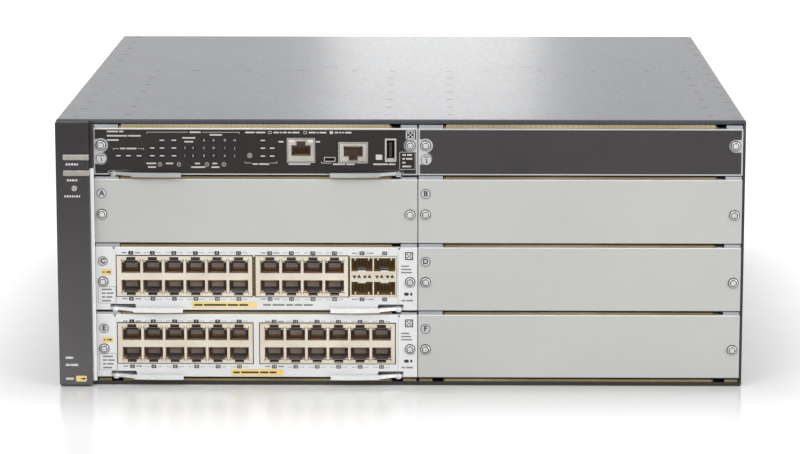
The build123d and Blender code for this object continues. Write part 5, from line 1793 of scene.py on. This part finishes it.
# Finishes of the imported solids


@dataclass
class SolidFinishes:
    """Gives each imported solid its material, with zones where a node holds more than one stuff."""

    nodes: dict[str, Piece]
    slots: dict[str, Slot]
    face_sheet: float = 1.25
    sheet_stretch: Point = (900.0, 900.0, 900.0)

    BOARD_GREEN: ClassVar[tuple[str, str]] = ("14502e", "104526")
    MODULES: ClassVar[tuple[tuple[str, str, str, float, Point], ...]] = (
        ("mgmt", "M", "d0d1d1", 5.8, (70.0, 70.0, 44.0)), ("card_c", "C", CARD_COLOUR, 9.3, (74.0, 120.0, 56.0)),
        ("card_e", "E", CARD_COLOUR, 9.3, (74.0, 120.0, 56.0)),
    )

    def edge(self, slot: Slot) -> Zone:
        """A painted highlight: a near-white strip along the upper edge of a slot's face."""
        return Zone((slot.left - 1, slot.y - 1, slot.top - EDGE_HIGHLIGHT_WIDTH),
                    (slot.left + slot.width + 1, slot.y + 3, slot.top + 0.01), EDGE_HIGHLIGHT_COLOUR, 0.25)

    def tray(self, name: str, slot: Slot, colour: str) -> Finish:
        """A module's tray: plated sheet with a painted face, a painted highlight along the face's upper edge, and its
        contact strip.

        Args:
            name: Its name.
            slot: The slot it stands in.
            colour: The painted face's colour.

        Returns:
            The finish.
        """
        zones = (Zone.slab(colour, 0.4, y=(-FAR, slot.y + self.face_sheet)), self.edge(slot),
                 Zone.slab("8f8058", 0.35, 0.8, z=(slot.top + 0.02, FAR)))
        return Finish(f"{name}_sheet", "b4b6b7", "a3a5a7", 0.36, metallic=0.7, cloud_scale=26.0,
                      stretch=self.sheet_stretch, zones=zones)

    def board(self, name: str, slot: Slot, rise: float, cooler: Point) -> Finish:
        """A circuit board: green film, black chips, and a bright cooler given by its place and its width.

        Args:
            name: Its name.
            slot: The module's slot.
            rise: The board's top over the slot's bottom.
            cooler: The cooler's left and front corner and its width.

        Returns:
            The finish.
        """
        top, (x, y, width) = slot.bottom + rise, cooler
        x, y = slot.left + x, self.slots["C"].y + y
        metal = Zone((x - 0.5, y - 0.5, top - 0.1), (x + width + 0.5, y + width + 0.5, top + 30.0), "a9adb2", 0.35, 0.9)
        return BoardFinish(name, *self.BOARD_GREEN, 0.35, cloud_scale=20.0,
                           zones=(Zone.slab("222224", 0.45, z=(top + 0.05, FAR)), metal))

    def shield(self, node: str, inside: str = "5c4a40", metallic: float = 0.0) -> Finish:
        """A jack block: plated shield outside and dark plastic inside.

        Args:
            node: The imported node's name.
            inside: The colour inside.
            metallic: How metallic the inside is.

        Returns:
            The finish.
        """
        outside = ("c2beb6", "aeaaa2") if node.startswith("mgmt") else ("e6ddcd", "d9ceba")
        zone = Zone.slab(inside, 0.45, metallic, y=(corners(node)[0].y + 0.7, FAR))
        return Finish(f"{node}_shield", *outside, 0.32, metallic=0.4, cloud_scale=60.0, stretch=(300, 3000, 3000),
                      roughness_spread=0.1, zones=(zone,))

    def supply(self, level: str, steel: Zone, rear: float) -> Finish:
        """A power supply: plated case, black inlet and bright handle.

        Args:
            level: upper or lower.
            steel: The handle's zone.
            rear: Where the rear frame ends.

        Returns:
            The finish.
        """
        low, _ = corners(f"power_supply_{level}")
        inlet = Zone((low.x + 15.9, rear - 21.0, low.z + 13.0), (low.x + 46.5, rear + self.face_sheet, low.z + 38.0),
                     "1e1e20", 0.45)
        return Finish(f"supply_{level}", "aeb1b4", "9ea2a6", 0.36, metallic=0.8, cloud_scale=30.0,
                      stretch=self.sheet_stretch, zones=(inlet, steel))

    def table(self) -> dict[str, Finish]:
        """The finish of each node that has one of its own.

        Returns:
            The finishes by node.
        """
        front, rear = self.slots["C"].y, corners("rear_frame")[1].y
        steel = Zone.slab("c6c8ca", 0.25, 0.95, y=(rear + self.face_sheet, FAR))
        backplane_front = corners("backplane_board")[1].y - 3.05
        table = {
            "chassis_tub": SIDE_PAINT, "side_grilles": SIDE_PAINT, "rear_frame": SIDE_PAINT,
            "top_cover": CHASSIS_PAINT, "cover_screws": NICKEL, "cage_divider": PLATED, "bay_partitions": PLATED,
            # The wall's front flange is lifted to near white to make up for the bezel's shade: its own light colour
            # plus painted light.
            "cage_wall_left": Finish("wall_sheet", "a9abab", "999b9c", 0.38, metallic=0.7, cloud_scale=30.0, zones=(
                Zone.slab("f6f7f5", 0.42, y=(-FAR, front + self.face_sheet)),)),
            "card_guides": GUIDE, "front_bezel": BEZEL_WITH_PAINTED_BOUNCE, "bezel_lights": PEARL,
            "bezel_led_board": BoardFinish("led_board", *self.BOARD_GREEN, 0.35),
            "backplane_board": BoardFinish("backplane_film", *self.BOARD_GREEN, 0.35, zones=(
                Zone.slab("242426", 0.5, y=(-FAR, backplane_front)),)),
            "gasket_strips": Finish("gasket_base", "7d6f4b", "665a3b", 0.35, metallic=0.8, stretch=(400, 3000, 3000)),
            "blank_cover_top": Finish("top_blank_sheet", "d0d1d1", "c5c6c6", 0.35, metallic=0.3,
                                      stretch=self.sheet_stretch),
            "blank_top_overlay": FILM, "mgmt_overlay": FILM_DARK, "blank_screws": NICKEL,
            # The cage's inside gold is lightened to lift the shade in the cages: partly its own colour, partly painted
            # light.
            "card_c_sfp_cage": self.shield("card_c_sfp_cage", "b0966c", 0.25),
            "mgmt_usb_sockets": self.shield("mgmt_usb_sockets", "2c2826"),
            "fan_tray": Finish("fan_tray_paint", "3c3b3b", "343333", 0.42, bump=0.2, zones=(steel,)),
            "fan_guards": WIRE, "fan_housings": FAN_BLACK, "fan_rotor_left": FAN_BLACK, "fan_rotor_right": FAN_BLACK,
        }
        for level in ("upper", "lower"):
            table[f"power_supply_{level}"] = self.supply(level, steel, rear)
        for module, key, colour, rise, cooler in self.MODULES:
            table[f"{module}_tray"] = self.tray(f"{module}_tray", self.slots[key], colour)
            table[f"{module}_board"] = self.board(f"{module}_board_film", self.slots[key], rise, cooler)
        for letter in "abdf":
            # Each blank's paint, with a painted highlight along its upper edge.
            table[f"blank_cover_{letter}"] = Finish(
                f"blank_paint_{letter}", "c9cac7", "c4c5c2", 0.45, specular=0.3, cloud_scale=8.0,
                stretch=(2600, 2600, 2600), bump=0.14, zones=(self.edge(self.slots[letter.upper()]),))
        return table

    def build(self) -> None:
        """Assigns every node's material."""
        table = self.table()
        for node, piece in self.nodes.items():
            finish = table.get(node) or self.by_kind(node)
            piece.data.materials.clear()
            piece.data.materials.append(finish.material())
            Log.info("%s wears %s", node, finish.name)

    def by_kind(self, node: str) -> Finish:
        """The finish of a node whose name tells its kind.

        Args:
            node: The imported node's name.

        Returns:
            The finish.
        """
        if "jack" in node:
            return self.shield(node)
        for word, finish in (("mgmt_lever", LEVER_GREY), ("lever", LEVER), ("screw", NICKEL), ("button", BUTTON)):
            if word in node:
                return finish
        raise ValueError(f"no finish for {node}")


# Floor, lights and camera


@dataclass
class Studio:
    """A white sweep, soft lights and the camera of the photograph. Lengths are metres here."""

    camera_place: Point = (0.02343, -2.23458, 0.47304)
    camera_pitch: float = 10.38
    camera_turn: float = 0.679
    lens: float = 141.92
    sensor: float = 36.0
    sight: float = 50.0
    lights: tuple[tuple[str, Point, Point, float, float, float], ...] = (
        ("key", (-1.6, -2.6, 2.2), (0.0, 0.0, 0.1), 2.2, 1.6, 38.0),
        ("fill", (2.2, -2.2, 1.2), (0.0, 0.0, 0.1), 2.0, 1.6, 35.0),
        ("top", (0.0, 0.1, 2.6), (0.0, 0.0, 0.0), 2.4, 2.0, 32.0),
        ("cover_glow", (0.02, 2.3, 0.5), (0.0, 0.1, 0.17), 0.3, 0.5, 0.85),
    )
    world_light: float = 0.37
    floor_size: float = 40.0
    floor_tone: float = 0.8
    wall_height: float = 5.0
    wall_curve: float = 1.5
    far_fade: Span = (0.5, 2.2)
    # Reach and glow of the painted shadow round the object: the floor's glow rises from the first to the second value
    # over that reach.
    shade_halo_reach: float = 0.13
    shade_halo_glow: Span = (0.02, 0.28)
    footprint: Point = (0.215, 0.225, 0.0)

    def build(self) -> None:
        """Makes the sweep, the world, the lights and the camera."""
        self.make_sweep()
        self.make_world()
        for name, place, aim, width, height, watts in self.lights:
            self.make_light(name, Vector(place), Vector(aim), width, height, watts)
        self.make_camera()
        bpy.context.scene.view_settings.view_transform = "Standard"

    def make_sweep(self) -> None:
        """The floor, curved up into a backdrop behind, with a painted shadow round the object's footprint."""
        clear_selection()
        bpy.ops.mesh.primitive_plane_add(size=self.floor_size, location=(0, 1.0, 0))
        floor = settle()
        floor.name = "floor_sweep"
        pick_edges(floor, lambda middle, way: abs(way.x) > FACING and middle.y > 0)
        bpy.ops.mesh.extrude_region_move(TRANSFORM_OT_translate={"value": (0, 0, self.wall_height)})
        leave_edit()
        round_edges(floor, Axis.X, self.wall_curve / MM, 12, lambda middle: middle.y > 5000 and middle.z < 10)
        smooth(floor, 60)
        made = bpy.data.materials.new("sweep_white")
        made.use_nodes = True
        net = Wiring(made.node_tree)
        place = net.add("TexCoord").outputs["Object"]
        depth = net.add("SeparateXYZ", {0: place}).outputs["Y"]
        far = net.ramp(depth, self.far_fade)
        # The glow is lowest at the object's footprint and rises outwards: a painted shadow round the object.
        outside = net.add("VectorMath", {0: place}, operation="ABSOLUTE").outputs["Vector"]
        for operation, value in (("SUBTRACT", self.footprint), ("MAXIMUM", (0, 0, 0))):
            outside = net.add("VectorMath", {0: outside, 1: value}, operation=operation).outputs["Vector"]
        distance = net.add("VectorMath", {0: outside}, operation="LENGTH").outputs["Value"]
        shade_halo = net.ramp(distance, (0.0, self.shade_halo_reach), self.shade_halo_glow, interpolation_type="SMOOTHSTEP")
        net.feed(made.node_tree.nodes["Principled BSDF"], {
            "Base Color": (self.floor_tone,) * 3 + (1,), "Roughness": 0.2, "Specular IOR Level": 0.5,
            "Emission Color": (1, 1, 1, 1),
            "Emission Strength": net.math("MULTIPLY", self.seen_rays(net), net.math("MAXIMUM", far, shade_halo))})
        floor.data.materials.append(made)

    @staticmethod
    def seen_rays(net: Wiring) -> Socket:
        """1 for camera, glossy and transmission rays, and 0 for the others.

        Args:
            net: Adds the nodes.

        Returns:
            The socket that says so.
        """
        rays = net.add("LightPath").outputs
        seen = net.math("MAXIMUM", rays["Is Camera Ray"], rays["Is Glossy Ray"])
        return net.math("MAXIMUM", seen, rays["Is Transmission Ray"])

    def make_world(self) -> None:
        """Soft light from all round, seen as white."""
        world = bpy.data.worlds.new("studio")
        world.use_nodes = True
        net = Wiring(world.node_tree)
        strength = net.ramp(self.seen_rays(net), end=(self.world_light, 1.0))
        net.feed(world.node_tree.nodes["Background"], {"Color": (1, 1, 1, 1), "Strength": strength})
        bpy.context.scene.world = world

    @staticmethod
    def make_light(name: str, place: Vector, aim: Vector, width: float, height: float, watts: float) -> None:
        """A rectangular soft light turned to a point.

        Args:
            name: The light's name.
            place: Where it stands.
            aim: What it points at.
            width: Its width.
            height: Its height.
            watts: Its power.
        """
        clear_selection()
        bpy.ops.object.light_add(type="AREA", location=place)
        light = bpy.context.object
        light.name = f"{name}_light"
        for trait, value in (("shape", "RECTANGLE"), ("size", width), ("size_y", height), ("energy", watts)):
            setattr(light.data, trait, value)
        light.rotation_euler = (aim - place).to_track_quat("-Z", "Y").to_euler()

    def make_camera(self) -> None:
        """The camera at the photograph's angle."""
        clear_selection()
        turn = (math.radians(90 - self.camera_pitch), 0.0, math.radians(self.camera_turn))
        bpy.ops.object.camera_add(location=self.camera_place, rotation=turn)
        camera = bpy.context.object
        for trait, value in (("lens", self.lens), ("sensor_width", self.sensor), ("clip_end", self.sight)):
            setattr(camera.data, trait, value)
        bpy.context.scene.camera = camera


RIDERS = {"A": "chassis", "B": "chassis", "C": "line_card_c", "D": "chassis", "E": "line_card_e", "F": "chassis",
          "M": "management_module", "N": "chassis"}


def dress_cards(slots: dict[str, Slot]) -> None:
    """Fits the jacks, the cages and the print of the two line cards.

    Args:
        slots: Every slot by its letter.
    """
    for card, key, counts, starts, rises in (("c", "C", (6, 4), (1, 13), (37.9, 7.4)),
                                             ("e", "E", (6, 6), (1, 13), (37.1, 7.0))):
        for side, columns, first in zip(("left", "right"), counts, starts):
            JackBank(f"card_{card}_jacks_{side}", f"line_card_{card}", columns, first, slots[key], rises).build()
    TransceiverFront(slots["C"]).build()
    CardFace("card_c", "line_card_c", slots["C"], (62.2, 104.6), (1.3, 5.7), (23.0, 27.3), 108.6,
             ((102.0, 103.7), (164.3, 165.0))).build()
    CardFace("card_e", "line_card_e", slots["E"], (87.2, 121.9), (0.8, 5.5), (22.6, 26.8)).build()


def place_badges(slots: dict[str, Slot]) -> None:
    """Fits the lettered plates of the six lower slots and the numbered ones of the top row.

    Args:
        slots: Every slot by its letter.
    """
    badges = SlotBadges()
    badges.build({letter: (slots[letter], RIDERS[letter]) for letter in "ABCDEF"})
    badges.build_numbers({"1": (slots["M"], RIDERS["M"], 5.0, 10.8), "2": (slots["N"], RIDERS["N"], 5.2, 10.3)})


def dress_rows(slots: dict[str, Slot]) -> None:
    """Fits the contact fingers, the painted shade rings at the screws and the sheet ends of every slot.

    Args:
        slots: Every slot by its letter.
    """
    modules = {"M": "mgmt", "C": "card_c", "E": "card_e"}
    fingers, tall_fingers = ContactFingers(), ContactFingers(strip_height=2.7, finish=GOLD_FINGER_LIT)
    rings, ears = ScrewShadeRings(), RowEars()
    for key, rider in RIDERS.items():
        slot, low, in_top_row = slots[key], key.lower(), key in "MN"
        (tall_fingers if in_top_row else fingers).build(f"fingers_{low}", slot, slot.top, rider)
        bodies = [f"{modules[key]}_screw_{side}" if key in modules else "chassis" for side in ("left", "right")]
        rings.build(low, slot, 19.4 if in_top_row else 18.8, 0.5 if in_top_row else 0.0, bodies, rider)
        ears.build(low, slot, 1.5 if key in "AE" else 2.3, rider)
    hem = corners("gasket_strips")[0].z
    for name, key in (("fingers_hem_left", "E"), ("fingers_hem_right", "F")):
        fingers.build(name, slots[key], hem, "chassis", 2.1)
    ears.build_hem((slots["E"], slots["F"]), hem)


def main() -> None:
    """Loads the frame and builds every part of the scene in order."""
    logging.basicConfig(level=logging.INFO, format="%(message)s")
    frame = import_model()
    slots = {}
    for letters, row_node in (("AB", "blank_cover_a"), ("CD", "blank_cover_d"), ("EF", "blank_cover_f"),
                              ("MN", "blank_cover_top")):
        for letter, column_node in zip(letters, ("blank_cover_a", "blank_cover_b")):
            slots[letter] = Slot.of(column_node, row_node)
    Studio().build()
    SolidFinishes(frame["nodes"], slots).build()
    dress_cards(slots)
    place_badges(slots)
    ManagementFace(slots["M"]).build()
    dress_rows(slots)
    CoverMarks().build()
    BezelPrint().build()
    RearDress().build()
    for module, rider, key, rise in (("mgmt", "management_module", "M", 5.8), ("card_c", "line_card_c", "C", 9.3),
                                     ("card_e", "line_card_e", "E", 9.3)):
        BoardParts(module, rider, slots[key], rise).build()


if __name__ == "__main__":
    main()
